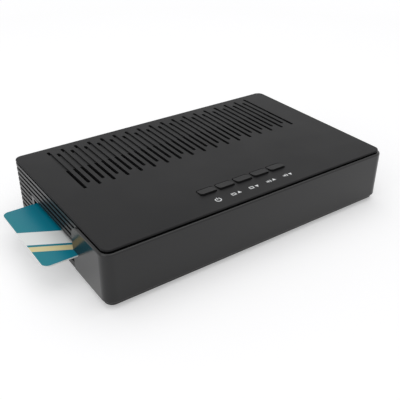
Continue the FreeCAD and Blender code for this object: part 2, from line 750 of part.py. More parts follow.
def lower_case():
    """The tray: louvred walls with crossing grooves and pockets, an open rear, bosses and tubes."""
    tray = Piece("lower_case")
    width, depth, wall = S.body_width, S.body_depth, S.wall
    core = S.fascia_wall - S.fascia_proud + S.fit_gap
    wing_rear = S.return_depth + S.fit_gap
    fascia_low = base_z + S.fascia_low - S.fit_gap
    fascia_top = rim_z + S.fascia_rise
    tray.pad("top", base_z, S.case_height, box(0, 0, width, depth, S.corner_radius))
    over = S.overcut
    wing = outline((-over, fascia_low), (wing_rear, fascia_low), (wing_rear, fascia_top, S.return_round),
                   (-over, fascia_top))
    tray.pocket("side", -over, width + over * 2, wing)
    tray.pad("top", base_z, S.case_height,
             box(core, core, width - core * 2, depth - core * 2, S.corner_radius - core))
    tray.pocket("top", floor_z, S.case_height,
                box(wall, wall, width - wall * 2, depth - wall * 2, S.corner_radius - wall))

    # Louvres: level grooves outside, upright pockets inside, open where they cross
    inner = S.corner_radius - S.groove_depth
    rear_in = depth - S.groove_depth
    far = width - S.groove_depth
    behind = depth + over
    wrap = S.groove_wrap
    left_band = outline((-over, S.groove_start), (S.groove_depth, S.groove_start),
                        (S.groove_depth, rear_in, inner), (wrap, rear_in), (wrap, behind), (-over, behind))
    right_band = outline((width + over, S.groove_start), (width + over, behind), (width - wrap, behind),
                         (width - wrap, rear_in), (far, rear_in, inner), (far, S.groove_start))
    lowest = rim_z - S.groove_pitch * S.groove_count
    grooves = tray.pocket("top", lowest, S.groove_height, left_band, right_band)
    tray.repeat([grooves], "z", S.groove_pitch, S.groove_count)
    window_low = base_z + S.card_level + S.mouth_height
    window_top = rim_z - S.skirt_depth
    inside = wall - S.window_depth
    left_window = tray.pocket("side", inside, S.window_depth,
                              box(S.window_start, window_low, S.window_width, window_top - window_low))
    tray.repeat([left_window], "y", S.window_pitch, S.window_count)
    right_low = floor_z + S.floor_thickness
    right_window = tray.pocket("side", width - wall, S.window_depth,
                               box(S.window_start, right_low, S.window_width, window_top - right_low))
    tray.repeat([right_window], "y", S.window_pitch, S.window_count)

    # Rear opening with the grooves that hold the rear panel
    opening = width - S.rear_margin * 2
    tray.pocket("front", inner_rear - over, wall + over * 2,
                box(S.rear_margin, base_z + S.rear_sill, opening, S.case_height))
    groove_x = S.rear_margin - S.panel_lap - S.fit_gap
    groove_y = depth - S.panel_back - S.panel_thickness - S.fit_gap
    tray.pocket("front", groove_y, S.panel_thickness + S.fit_gap * 2,
                box(groove_x, base_z + S.rear_sill - S.panel_lap, width - groove_x * 2, S.case_height))

    # Card mouth: the insert's opening, and the narrow slot before it that the fascia also has
    mouth_z = card_z - S.mouth_drop - S.fit_gap
    mouth_y = S.return_depth + S.fit_gap
    mouth_end = card_rear + S.mouth_land + S.fit_gap
    tray.pocket("side", -over, wall + over * 2,
                box(mouth_y, mouth_z, mouth_end - mouth_y, S.mouth_height + S.fit_gap * 2))
    slot_y = S.card_front - S.card_play_side
    slot_z = card_z - S.card_play_height
    slot_height = S.card_thickness + S.card_play_height * 2
    tray.pocket("side", -over, wall + over * 2, box(slot_y, slot_z, mouth_y - slot_y + over, slot_height))

    # Opening in the front wall for the infrared eye and the lamp
    sight_left = S.eye_x - S.eye_width
    tray.pocket("front", -over, wall + over * 2,
                box(sight_left, base_z + S.sight_height - S.sight_opening,
                    S.led_x + S.eye_width - sight_left, S.sight_opening * 2))

    # Bosses of the main board, screw tubes, posts of the front board
    bosses = [disc(x, y, S.boss_radius) for x, y in board_screw_places]
    tray.pad("top", floor_z, board_z - floor_z, *bosses)
    pilots = [disc(x, y, S.screw_radius + S.screw_play) for x, y in board_screw_places]
    tray.pocket("top", base_z + S.pilot_floor, S.case_height, *pilots)
    tubes = [disc(x, y, S.tube_radius) for x, y in tube_places]
    tray.pad("top", floor_z, S.tube_height - S.floor_thickness, *tubes)
    heads = [disc(x, y, S.case_screw_head + S.screw_clearance / 2) for x, y in tube_places]
    tray.pocket("top", 0, base_z + S.case_screw_sink, *heads)
    shanks = [disc(x, y, S.case_screw_radius + S.screw_clearance) for x, y in tube_places]
    tray.pocket("top", 0, S.case_height, *shanks)
    post_y = S.front_board_y - S.fit_gap - S.post_wall
    post_depth = S.front_board_thickness + (S.fit_gap + S.post_wall) * 2
    board_end = S.front_board_x + S.front_board_width
    half = S.post_width / 2
    tray.pad("top", floor_z, S.post_height, box(S.front_board_x - half, post_y, S.post_width, post_depth),
             box(board_end - half, post_y, S.post_width, post_depth))
    tray.pocket("top", floor_z, S.case_height,
                box(S.front_board_x - S.fit_gap, S.front_board_y - S.fit_gap,
                    S.front_board_width + S.fit_gap * 2,
                    S.front_board_thickness + S.fit_gap * 2))

    # Underside: seats of the feet and a row of vents under the heat sink
    seats = [disc(x, y, S.foot_radius + S.fit_gap) for x, y in foot_places]
    tray.pocket("top", base_z - over, S.foot_recess + over, *seats)
    vent_x = S.soc_x - S.vent_pitch * (S.under_vent_count - 1) / 2
    half_sink = S.sink_side / 2
    vent = tray.pocket("top", 0, floor_z + over,
                       slot(vent_x, S.soc_y - half_sink, S.soc_y + half_sink, S.vent_width))
    tray.repeat([vent], "x", S.vent_pitch, S.under_vent_count)
    border = S.foot_radius.value

    def outer_edge(edge):
        """Long edges of the underside that lie outside the feet."""
        return (level_edge(base_z)(edge) and edge.Length > S.return_depth.value
                and not within(edge, border, width.value - border, border, depth.value - border))

    tray.dress("Chamfer", "Size", S.base_bevel, outer_edge)
    return tray.done()


def top_cover():
    """The lid: thin overhanging edge, shadow gap, skirt, staggered vents, key openings, bosses."""
    lid = Piece("top_cover")
    width, depth = S.body_width, S.body_depth
    lid.pad("top", lid_low, S.lid_edge, box(0, 0, width, depth, S.corner_radius))
    step = S.gap_depth
    lid.pad("top", rim_z, S.gap_height,
            box(step, step, width - step * 2, depth - step * 2, S.corner_radius - step))
    lid.dress("Fillet", "Radius", S.lid_round, level_edge(lid_top))
    skirt = S.wall + S.fit_gap
    hollow = skirt + S.skirt_wall
    lid.pad("top", rim_z - S.skirt_depth, S.skirt_depth,
            box(skirt, skirt, width - skirt * 2, depth - skirt * 2, S.corner_radius - S.wall),
            box(hollow, hollow, width - hollow * 2, depth - hollow * 2, S.skirt_round))

    # Vents: an open front part, a shallow closed part and an open eye at the rear, staggered
    over = S.overcut
    below = rim_z - over
    through = S.gap_height + S.lid_edge + over * 2
    rows = ((S.vent_long_front, S.vent_long_rear, S.vent_first, S.vent_long_count),
            (S.vent_short_front, S.vent_short_rear, S.vent_first + S.vent_pitch, S.vent_long_count - 1))
    for front, rear, first, count in rows:
        closed = lid.pocket("top", lid_top - S.vent_groove, S.vent_groove + over,
                            slot(first, front, rear, S.vent_width))
        opened = lid.pocket("top", below, through,
                            slot(first, front, S.vent_open_end, S.vent_width),
                            slot(first, rear - S.vent_eye, rear, S.vent_width))
        lid.repeat([closed, opened], "x", S.vent_pitch * 2, count)

    # Key openings, the rail that the key arms pivot in, posts for the key board
    hole = lid.pocket("top", below, through,
                      box(S.key_first - S.key_gap, S.key_front - S.key_gap, S.key_width + S.key_gap * 2,
                          S.key_length + S.key_gap * 2, S.key_round))
    lid.repeat([hole], "x", S.key_pitch, S.key_count)
    bore = S.pivot_radius + S.pivot_play
    rail = bore + S.pivot_land
    rail_x = S.key_first - S.rail_past
    rail_length = key_row_end + S.rail_past - rail_x
    lid.pad("side", rail_x, rail_length,
            box(S.pivot_y - rail, pivot_z - rail, rail * 2, rim_z - pivot_z + rail + S.weld))
    lid.pocket("side", rail_x - over, rail_length + over * 2, disc(S.pivot_y, pivot_z, bore))
    mouth_low = arm_low - S.key_gap
    lid.pocket("side", rail_x - over, rail_length + over * 2,
               box(S.pivot_y - rail - over, mouth_low, rail + over, arm_top + S.key_gap - mouth_low))
    posts = [disc(x, y, S.key_post_radius) for x, y in key_post_places]
    lid.pad("top", key_board_top, rim_z - key_board_top, *posts)
    post_pilots = [disc(x, y, S.screw_radius + S.screw_play) for x, y in key_post_places]
    lid.pocket("top", key_board_top - over, S.key_pilot_depth + over, *post_pilots)

    # Bosses over the tray's screw tubes
    boss_low = base_z + S.tube_height
    bosses = [disc(x, y, S.tube_radius) for x, y in tube_places]
    lid.pad("top", boss_low, rim_z - boss_low, *bosses)
    pilots = [disc(x, y, S.case_screw_radius + S.screw_play) for x, y in tube_places]
    lid.pocket("top", boss_low - over, S.case_screw_length + over, *pilots)
    return lid.done()


def front_fascia():
    """The glossy band round the front with a wing along each side."""
    fascia = Piece("front_fascia")
    proud, wall = S.fascia_proud, S.fascia_wall
    low = base_z + S.fascia_low
    height = S.case_height + S.fascia_rise - S.fascia_low
    outer = S.corner_radius + proud
    reach = S.body_width + proud * 2
    inset = wall - proud
    inner_width = S.body_width - inset * 2
    long_wing = S.return_depth + outer * 2
    past = long_wing + S.return_round
    over = S.overcut
    fascia.pad("top", low, height, box(-proud, -proud, reach, long_wing, outer))
    fascia.dress("Fillet", "Radius", S.fascia_round, level_edge(low + height))
    fascia.dress("Fillet", "Radius", S.fascia_lower_round, level_edge(low))
    fascia.pocket("top", low - over, height + over * 2, box(inset, inset, inner_width, past, outer - wall))
    top = low + height
    before, above = -outer, top + S.return_round
    fascia.pocket("side", -proud - over, reach + over * 2, outline(
        (before, above), (before, top + S.hair), (S.return_depth, top + S.hair, S.return_round),
        (S.return_depth, low - over), (past, low - over), (past, above)))
    slot_y = S.card_front - S.card_play_side
    fascia.pocket("side", -proud - over, wall + over * 2,
                  box(slot_y, card_z - S.card_play_height, S.return_depth - slot_y + over,
                      S.card_thickness + S.card_play_height * 2))
    return fascia.done()


def rear_panel():
    """The plate that closes the rear, with an opening for each socket."""
    panel = Piece("rear_panel")
    play = S.socket_play
    left = S.rear_margin - S.panel_lap
    low = base_z + S.rear_sill - S.panel_lap + S.fit_gap
    face = S.body_depth - S.panel_back - S.panel_thickness
    panel.pad("front", face, S.panel_thickness,
              box(left, low, S.body_width - left * 2, rim_z - S.fit_gap - low))
    holes = [disc(aerial_x, board_top + S.aerial_level, S.aerial_radius + play),
             disc(audio_x, board_top + S.audio_level, S.audio_radius + play),
             box(video_x - play, board_top, S.video_width + play * 2, S.video_height + play),
             box(scart_x - play, board_top, S.scart_width + play * 2, S.scart_height + play),
             box(usb_x - play, board_top, S.usb_width + play * 2, S.usb_height + play),
             box(lan_x - play, board_top, S.lan_width + play * 2, S.lan_height + play),
             box(dc_x - play, board_top, S.dc_width + play * 2, S.dc_height + play)]
    panel.pocket("front", face - S.overcut, S.panel_thickness + S.overcut * 2, *holes)
    return panel.done()


def card_mouth():
    """The insert in the left wall: a flared slot, open towards the fascia, with a flange behind."""
    mouth = Piece("card_mouth")
    front = S.return_depth + S.fit_gap * 2
    length = card_rear + S.mouth_land - front
    low = card_z - S.mouth_drop
    lap = S.mouth_flange_lap
    mouth.pad("side", 0, S.wall, box(front, low, length, S.mouth_height))
    over = S.overcut
    mouth.pad("side", S.wall, S.mouth_flange,
              box(front - lap, low - lap, length + lap * 2, S.mouth_height + lap * 2))
    slot_end = card_rear + S.card_play_side
    slot_z = card_z - S.card_play_height
    start = S.card_front - S.card_play_side
    mouth.pocket("side", -over, S.wall + S.mouth_flange + over * 2,
                 box(start, slot_z, slot_end - start, S.card_thickness + S.card_play_height * 2))
    flare_low = card_z - S.mouth_open_down
    mouth.pocket("side", -S.hair, S.mouth_flare,
                 box(front - over, flare_low, slot_end - front + over * 2,
                     S.mouth_open_down + S.mouth_open_up))
    return mouth.done()


def smart_card():
    """The card, with the seat of its contact plate on the underside."""
    card = Piece("smart_card")
    card.pad("top", card_z, S.card_thickness,
             box(-S.card_out, S.card_front, S.card_length, S.card_width, S.card_corner))
    card.pocket("top", card_z - S.overcut, S.chip_recess + S.overcut,
                box(chip_x, chip_y, S.chip_side_x, S.chip_side_y, S.chip_round))
    return card.done()


def card_chip():
    """The gold contact plate, flush with the card's underside."""
    chip = Piece("card_chip")
    chip.pad("top", card_z, S.chip_recess, box(chip_x, chip_y, S.chip_side_x, S.chip_side_y, S.chip_round))
    lines = [box(chip_x + S.chip_line_inset, chip_y + S.chip_line_first + S.spring_pitch * number,
                 S.chip_side_x - S.chip_line_inset * 2, S.chip_line) for number in counted(S.contact_rows)]
    chip.pocket("top", card_z - S.overcut, S.chip_recess / 2 + S.overcut, *lines)
    return chip.done()


def card_reader():
    """Frame, springs, sheet lid and board of the card reader."""
    frame = Piece("reader_frame")
    guide_front = S.card_front - S.card_play_side
    guide_rear = card_rear + S.card_play_side
    front = guide_front - S.reader_rail
    depth = guide_rear - guide_front + S.reader_rail * 2
    length = card_end + S.reader_end - S.reader_start
    channel_low = card_z - S.card_play_height
    channel_height = S.card_thickness + S.card_play_height * 2
    low = channel_low - S.reader_floor
    height = S.reader_floor + channel_height + S.reader_lip
    frame.pad("top", low, height, box(S.reader_start, front, length, depth))
    over = S.overcut
    frame.pocket("side", S.reader_start - over, card_end - S.reader_start + S.reader_stop,
                 box(guide_front, channel_low, guide_rear - guide_front, channel_height))
    lip = S.reader_rail
    frame.pocket("top", channel_low, height,
                 box(S.reader_start + lip * 2, guide_front + lip, card_end - S.reader_start - lip * 3,
                     guide_rear - guide_front - lip * 2))
    room = S.spring_room
    frame.pocket("top", low - over, height + over * 2,
                 box(chip_x - room * 3, chip_y - room, S.chip_side_x + room * 4, S.chip_side_y + room * 2))
    frame.done()

    spring = Piece("reader_contact_1")
    bend = S.spring_thickness
    step = S.spring_foot / 2
    rise = card_z - low
    root = chip_x + step
    tip = root + S.spring_length
    profile = outline((root, low), (root + S.spring_foot, low), (root + S.spring_foot, low + bend),
                      (root + step + bend, low + bend), (tip - step, card_z - bend),
                      (tip + step, card_z - bend - rise / 3), (tip + step, card_z - rise / 3),
                      (tip - step, card_z - S.spring_air), (root, low + bend))
    spring.pad("front", chip_y + S.spring_first, S.spring_width, profile)
    first = spring.body
    rows = [first]
    for number in counted(S.contact_rows - 1):
        copy = doc.addObject("Part::Feature", "reader_contact_%d" % (number + 2))
        copy.Shape = first.Shape.copy()
        copy.Placement = FreeCAD.Placement()
        bind(copy, "Placement.Base.y", S.spring_pitch * (number + 1))
        rows.append(copy)
    group("reader_contacts", rows)

    sheet_lid = Piece("reader_lid")
    lid_low_z = low + height
    sheet_lid.pad("top", lid_low_z, S.reader_lid_thickness,
                  box(S.reader_start, front, length, depth, S.board_round))
    windows = [box(S.reader_start + S.lid_window_x, y, S.lid_window_length, S.lid_window_width,
                   S.lid_window_round)
               for y in (guide_front + S.lid_window_y, guide_rear - S.lid_window_y - S.lid_window_width)]
    sheet_lid.pocket("top", lid_low_z - over, S.reader_lid_thickness + over * 2, *windows)
    sheet_lid.done()

    board = Piece("reader_board")
    board_low = low - S.board_thickness
    board.pad("top", board_low, S.board_thickness,
              box(S.reader_start, front, length + S.reader_board_end, depth))
    board.done()
    places = [(x, y) for y in (front + S.spacer_y, front + depth - S.spacer_y)
              for x in (S.reader_start + S.spacer_x, S.reader_start + length)]
    spacers = [rod("spacer_%d" % n, x, y, board_top, S.spacer_radius, board_low - board_top)
               for n, (x, y) in enumerate(places, start=1)]
    group("reader_spacers", spacers)


def key(number, name):
    """One key: a wedge cap on an arm with a round root, and a nub over its switch."""
    cap = Piece(name)
    left = S.key_first + S.key_pitch * number
    middle = left + S.key_width / 2
    arm_left = middle - S.arm_width / 2
    over = S.overcut
    cap.pad("top", arm_top - S.key_root, lid_top + S.key_rise - arm_top + S.key_root,
            box(left, S.key_front, S.key_width, S.key_length, S.key_round))
    rear = S.key_front + S.key_length
    cap.pocket("side", left - over, S.key_width + over * 2,
               outline((S.key_front, lid_top + S.key_rise), (rear, lid_top), (rear + over, lid_top),
                       (rear + over, lid_top + S.key_rise * 2), (S.key_front, lid_top + S.key_rise * 2)))
    cap.pad("side", arm_left, S.arm_width,
            box(S.key_front - S.arm_reach, arm_low, S.pivot_y - S.key_front + S.arm_reach, S.arm_thickness))
    cap.pad("side", arm_left, S.arm_width, disc(S.pivot_y, pivot_z, S.pivot_radius))
    cap.pad("top", arm_low - S.nub_height, S.nub_height + S.weld, disc(middle, S.switch_y, S.nub_radius))
    return cap.done()


def key_board():
    """The board under the keys with five switches and their plungers."""
    board = Piece("key_board")
    left = S.key_first - S.key_board_margin
    width = key_row_end - S.key_first + S.key_board_margin * 2
    low = key_board_top - S.board_thickness
    board.pad("top", low, S.board_thickness, box(left, S.key_board_front, width, S.key_board_depth))
    holes = [disc(x, y, S.screw_radius + S.screw_clearance / 2) for x, y in key_post_places]
    board.pocket("top", low - S.overcut, S.board_thickness + S.overcut * 2, *holes)
    board.done()

    housings = []
    side = S.switch_side
    for number in counted(S.key_count):
        middle = S.key_first + S.key_pitch * number + S.key_width / 2
        case = block("switch_case_%d" % (number + 1), middle - side / 2, S.switch_y - side / 2, key_board_top,
                     side, side, S.switch_body)
        well = rod("switch_well_%d" % (number + 1), middle, S.switch_y, key_board_top + S.switch_floor,
                   S.plunger_radius + S.plunger_play, S.switch_body)
        housings.append(carved("switch_%d" % (number + 1), case, well))
        plunger = Piece("switch_plunger_%d" % (number + 1))
        foot = key_board_top + S.switch_floor + S.switch_travel
        plunger.pad("top", foot, key_board_top + S.switch_height - foot,
                    disc(middle, S.switch_y, S.plunger_radius))
        plunger.done()
    group("key_switches", housings)


def pad_piece(name, x, y, z, width, depth, height, radius=None):
    """A piece that is one rounded pad."""
    piece = Piece(name)
    piece.pad("top", z, height, box(x, y, width, depth, radius))
    return piece.done()


def main_board():
    """The main board and what is soldered to it."""
    board = Piece("main_board")
    board.pad("top", board_z, S.board_thickness,
              box(S.board_inset_x, S.board_front, board_right - S.board_inset_x, board_rear - S.board_front,
                  S.board_round))
    holes = [disc(x, y, S.screw_radius + S.screw_clearance / 2) for x, y in board_screw_places]
    board.pocket("top", board_z - S.overcut, S.board_thickness + S.overcut * 2, *holes)
    board.done()
    half = S.soc_side / 2
    pad_piece("main_chip", S.soc_x - half, S.soc_y - half, board_top, S.soc_side, S.soc_side, S.soc_height,
              S.soc_round)

    sink = Piece("heat_sink")
    edge = S.sink_side / 2
    sink_z = board_top + S.soc_height
    sink.pad("top", sink_z, S.sink_base, box(S.soc_x - edge, S.soc_y - edge, S.sink_side, S.sink_side))
    fin = sink.pad("top", sink_z, S.sink_height,
                   box(S.soc_x - edge, S.soc_y - edge, S.fin_thickness, S.sink_side))
    sink.repeat([fin], "x", (S.sink_side - S.fin_thickness) / (S.fin_count - 1), S.fin_count)
    sink.done()

    chips = [block("chip_%d" % n, S.soc_x + x, S.soc_y + y, board_top, width, depth, S.chip_height)
             for n, (x, y, width, depth) in enumerate(MEMORY_PLACES, start=1)]
    group("memory_chips", chips)
    cans = [rod("can_%d" % n, S.soc_x + x, S.soc_y + y, board_top, S.can_radius, S.can_height)
            for n, (x, y) in enumerate(LARGE_CAN_PLACES, start=1)]
    cans += [rod("small_can_%d" % n, S.soc_x + x, S.soc_y + y, board_top, S.small_can_radius,
                 S.small_can_height)
             for n, (x, y) in enumerate(SMALL_CAN_PLACES, start=1)]
    group("capacitors", cans)
    coils = [block("coil_%d" % n, S.soc_x + S.coil_pitch * n, S.board_front + S.coil_inset, board_top,
                   S.coil_side, S.coil_side, S.coil_height) for n in range(1, COILS + 1)]
    group("power_coils", coils)
    x, y = CRYSTAL_PLACE
    pad_piece("crystal", S.soc_x + x, S.soc_y + y, board_top, S.crystal_length, S.crystal_width,
              S.crystal_height, S.crystal_round)
    x, y = DOTS_PLACE
    dots = [block("dot_%d_%d" % (row, column), S.soc_x + x + S.dot_pitch * column,
                  S.soc_y + y + S.dot_row_pitch * row, board_top, S.dot_length, S.dot_width, S.dot_height)
            for row in range(DOT_ROWS) for column in range(DOT_COLUMNS)]
    group("chip_parts", dots)


def socket_block(name, x, width, length, height, *cuts):
    """A socket body on the rear edge of the board, with cuts from its rear face."""
    piece = Piece(name)
    piece.pad("front", socket_face - length, length, box(x, board_top, width, height))
    for start, depth, drawings in cuts:
        piece.pocket("front", start, depth, *drawings)
    return piece


def rear_sockets():
    """The tuner can with its aerial socket, and the six sockets beside it."""
    over = S.overcut
    can = Piece("tuner_can")
    tuner_rear = inner_rear - S.flange_thickness
    can.pad("top", board_top, S.tuner_height,
            box(tuner_x, tuner_rear - S.tuner_length, S.tuner_width, S.tuner_length, S.tuner_round))
    holes = [disc(tuner_x + x, tuner_rear - y, S.tuner_hole) for x, y in TUNER_HOLES]
    can.pocket("top", board_top + S.tuner_height - S.tuner_hole_depth, S.tuner_hole_depth + over, *holes)
    can.done()

    aerial_z = board_top + S.aerial_level
    thread_end = S.body_depth + S.rear_reach
    thread_start = S.body_depth - S.panel_back + S.barrel_start
    length = thread_end - tuner_rear
    flange_end = tuner_rear + S.flange_thickness
    flange = rod("aerial_flange", aerial_x, tuner_rear, aerial_z, S.aerial_flange, S.flange_thickness, "y")
    neck = rod("aerial_neck", aerial_x, tuner_rear, aerial_z, S.aerial_radius - S.barrel_relief, length, "y")
    barrel = rod("aerial_barrel", aerial_x, thread_start, aerial_z, S.aerial_radius,
                 thread_end - thread_start, "y")
    bore = rod("aerial_bore", aerial_x, flange_end, aerial_z, S.aerial_bore, length, "y")
    keep(carved("aerial_socket", fused("aerial_body", flange, neck, barrel), bore), "aerial_socket")
    plug = rod("aerial_plug", aerial_x, flange_end, aerial_z, S.aerial_bore,
               thread_end - flange_end - S.aerial_back, "y")
    hole = rod("aerial_hole", aerial_x, tuner_rear + S.aerial_hole_start, aerial_z, S.aerial_pin_hole,
               length, "y")
    keep(carved("aerial_insulator", plug, hole), "aerial_insulator")

    audio_z = board_top + S.audio_level
    audio_face = inner_rear - S.flange_thickness
    length = thread_end - audio_face
    beyond = box(audio_x - S.audio_width, board_top - over, S.audio_width * 2, S.audio_height + over * 2)
    audio = socket_block("audio_socket", audio_x - S.audio_width / 2, S.audio_width, S.audio_width,
                         S.audio_height, (audio_face, length, [beyond]))
    audio.done()
    stem = rod("audio_stem", audio_x, audio_face, audio_z, S.audio_radius - S.barrel_relief, length, "y")
    ring = rod("audio_ring", audio_x, thread_start, audio_z, S.audio_radius, thread_end - thread_start, "y")
    inside = rod("audio_inside", audio_x, audio_face - over, audio_z, S.audio_bore, length + over * 2, "y")
    keep(carved("audio_barrel", fused("audio_outside", stem, ring), inside), "audio_barrel")
    core = rod("audio_core", audio_x, audio_face, audio_z, S.audio_bore, length - S.audio_back, "y")
    core_hole = rod("audio_core_hole", audio_x, audio_face + S.audio_hole_start, audio_z, S.audio_pin_hole,
                    length, "y")
    keep(carved("audio_insulator", core, core_hole), "audio_insulator")

    sheet_wall = S.shell_sheet
    shells = (("video", video_x, S.video_width, S.video_length, S.video_height, S.video_height / 2,
               S.video_tongue),
              ("usb", usb_x, S.usb_width, S.usb_length, S.usb_height, S.usb_height - S.usb_tongue_drop,
               S.usb_tongue))
    for name, x, width, length, height, tongue_z, tongue in shells:
        start = socket_face - length + S.shell_back
        hollow = box(x + sheet_wall, board_top + sheet_wall, width - sheet_wall * 2, height - sheet_wall * 2)
        shell = socket_block(name + "_shell", x, width, length, height, (start, length, [hollow]))
        shell.done()
        insert = Piece(name + "_insert")
        insert.pad("front", start, S.insert_base, hollow)
        insert.pad("front", socket_face - length + S.insert_base, length - S.insert_base - S.shell_back,
                   box(x + S.tongue_inset, board_top + tongue_z - tongue / 2, width - S.tongue_inset * 2,
                       tongue))
        insert.done()

    rim, channel = S.scart_rim, S.scart_channel
    inner_x, inner_z = scart_x + rim + channel, board_top + rim + channel
    inner_width = S.scart_width - (rim + channel) * 2
    inner_height = S.scart_height - (rim + channel) * 2
    upper_row = inner_z + inner_height - S.blade_edge - S.blade_height
    scart = socket_block("scart_socket", scart_x, S.scart_width, S.scart_length, S.scart_height)
    scart.pocket("front", socket_face - S.scart_depth, S.scart_depth + over,
                 box(scart_x + rim, board_top + rim, S.scart_width - rim * 2, S.scart_height - rim * 2,
                     S.scart_round),
                 box(inner_x, inner_z, inner_width, inner_height, S.scart_insert_round))
    blade = scart.pocket("front", socket_face - S.scart_depth, S.scart_depth + over,
                         box(inner_x + S.blade_first, inner_z + S.blade_edge, S.blade_width, S.blade_height),
                         box(inner_x + S.blade_second, upper_row, S.blade_width, S.blade_height))
    scart.repeat([blade], "x", S.scart_pitch, S.blade_count)
    scart.done()

    mouth_x = lan_x + (S.lan_width - S.lan_mouth_width) / 2
    mouth_z = board_top + S.lan_mouth_low
    inner_end = socket_face - S.lan_mouth_depth
    lan = socket_block("lan_socket", lan_x, S.lan_width, S.lan_length, S.lan_height,
                       (inner_end, S.lan_mouth_depth + over,
                        [box(mouth_x, mouth_z, S.lan_mouth_width, S.lan_mouth_height)]),
                       (inner_end, S.lan_mouth_depth + over,
                        [box(lan_x + (S.lan_width - S.lan_key_width) / 2, board_top + S.lan_key_low,
                             S.lan_key_width, S.lan_key_height)]))
    lan.done()
    finger_z = mouth_z + S.lan_mouth_height - S.finger_drop
    finger_y = socket_face - S.finger_start
    contacts = []
    for number in counted(S.finger_count):
        x = mouth_x + S.finger_first + S.finger_pitch * number
        finger = block("lan_finger_%d" % number, x, finger_y, finger_z, S.finger_side, S.finger_length,
                       S.finger_side)
        root = block("lan_root_%d" % number, x, inner_end, finger_z, S.finger_side, finger_y - inner_end,
                     S.finger_drop)
        contacts.append(fused("lan_contact_%d" % number, finger, root))
    group("lan_contacts", contacts)

    dc_middle = dc_x + S.dc_width / 2
    dc_z = board_top + S.dc_level
    dc = socket_block("power_socket", dc_x, S.dc_width, S.dc_length, S.dc_height,
                      (socket_face - S.dc_depth, S.dc_depth + over, [disc(dc_middle, dc_z, S.dc_bore)]))
    dc.done()
    pin = Piece("power_pin")
    pin.pad("front", socket_face - S.dc_depth, S.dc_depth - S.dc_pin_back, disc(dc_middle, dc_z, S.dc_pin))
    pin.done()


def front_board():
    """The upright board behind the fascia with the infrared eye and the lamp."""
    board = Piece("front_board")
    board.pad("front", S.front_board_y, S.front_board_thickness,
              box(S.front_board_x, floor_z, S.front_board_width, S.front_board_height))
    board.done()
    middle = base_z + S.sight_height
    eye = Piece("infrared_eye")
    eye_face = S.front_board_y - S.eye_depth
    eye.pad("front", eye_face, S.eye_depth,
            box(S.eye_x - S.eye_width / 2, middle - S.eye_height / 2, S.eye_width, S.eye_height, S.eye_round))
    eye.pad("front", eye_face - S.eye_dome, S.eye_dome + S.weld, disc(S.eye_x, middle, S.eye_lens))
    eye.done()
    lamp = Piece("status_lamp")
    nose = S.front_board_y - S.led_length
    lamp.pad("front", nose, S.led_length, disc(S.led_x, middle, S.led_radius))
    lamp.pad("front", S.front_board_y - S.led_rim_height, S.led_rim_height,
             disc(S.led_x, middle, S.led_radius + S.led_rim))
    lamp.dress("Fillet", "Radius", S.led_round, lambda edge: abs(edge.BoundBox.YMax - nose.value) < TOUCHING)
    lamp.done()


def ribbons():
    """Flat ribbons between the boards, each from a header to a header."""
    thick = S.ribbon_thickness
    half = S.header_width / 2
    front_rear = S.front_board_y + S.front_board_thickness
    front_x = S.front_board_x + S.header_inset_x
    main_y = S.board_front + S.header_inset_y
    second_y = main_y + S.header_step
    front_z = floor_z + S.header_lift
    key_x = S.key_first + S.key_pitch * 2 + S.key_width / 2
    key_low = key_board_top - S.board_thickness
    key_rear = S.key_board_front + S.key_board_depth
    reader_floor = card_z - S.card_play_height - S.reader_floor
    reader_x = card_end + S.reader_end + S.reader_board_end
    reader_y = S.card_front + S.card_width / 2
    catch_x = reader_x + S.header_gap
    headers = [
        block("header_1", front_x - half, front_rear, front_z, S.header_width, S.header_height,
              S.header_depth),
        block("header_2", front_x - half, main_y, board_top, S.header_width, S.header_depth, S.header_height),
        block("header_3", key_x - half, key_rear - S.header_depth, key_low - S.header_height, S.header_width,
              S.header_depth, S.header_height),
        block("header_4", key_x - half, second_y, board_top, S.header_width, S.header_depth, S.header_height),
        block("header_5", reader_x - S.header_depth, reader_y - half, reader_floor, S.header_depth,
              S.header_width, S.header_height),
        block("header_6", catch_x, reader_y - half, board_top, S.header_depth, S.header_width,
              S.header_height),
    ]
    group("ribbon_headers", headers)
    low = board_top + S.header_height / 2
    tight, wide = S.ribbon_inner, S.ribbon_outer
    runs = (("front_ribbon", "side", front_x, front_rear + S.header_height, front_z + S.header_depth / 2,
             main_y),
            ("key_ribbon", "side", key_x, key_rear, key_low - S.header_height / 2, second_y),
            ("reader_ribbon", "front", reader_y, reader_x, reader_floor + S.header_height / 2, catch_x))
    for name, plane, across, start_y, start_z, end_y in runs:
        bend = (start_y + end_y) / 2
        strip = Piece(name)
        strip.pad(plane, across - S.ribbon_width / 2, S.ribbon_width, outline(
            (start_y, start_z), (bend - thick, start_z, tight), (bend - thick, low - thick, wide),
            (end_y, low - thick), (end_y, low), (bend, low, tight), (bend, start_z + thick, wide),
            (start_y, start_z + thick)))
        strip.done()


def fixings():
    """Screws and feet."""
    deep = base_z + S.case_screw_sink
    screws = [screw("case_screw_%d" % n, x, y, deep, S.case_screw_radius, S.case_screw_length,
                    S.case_screw_head, S.case_screw_head_height, 1)
              for n, (x, y) in enumerate(tube_places, start=1)]
    group("case_screws", screws)
    small = [screw("board_screw_%d" % n, x, y, board_top, S.screw_radius, board_top - base_z - S.screw_air,
                   S.screw_head, S.screw_head_height, -1)
             for n, (x, y) in enumerate(board_screw_places, start=1)]
    under = key_board_top - S.board_thickness
    small += [screw("key_screw_%d" % n, x, y, under, S.screw_radius, S.board_thickness + S.key_screw_bite,
                    S.screw_head, S.screw_head_height, 1)
              for n, (x, y) in enumerate(key_post_places, start=1)]
    group("board_screws", small)
    feet = [rod("foot_%d" % n, x, y, 0, S.foot_radius, S.foot_height + S.foot_recess)
            for n, (x, y) in enumerate(foot_places, start=1)]
    group("rubber_feet", feet)


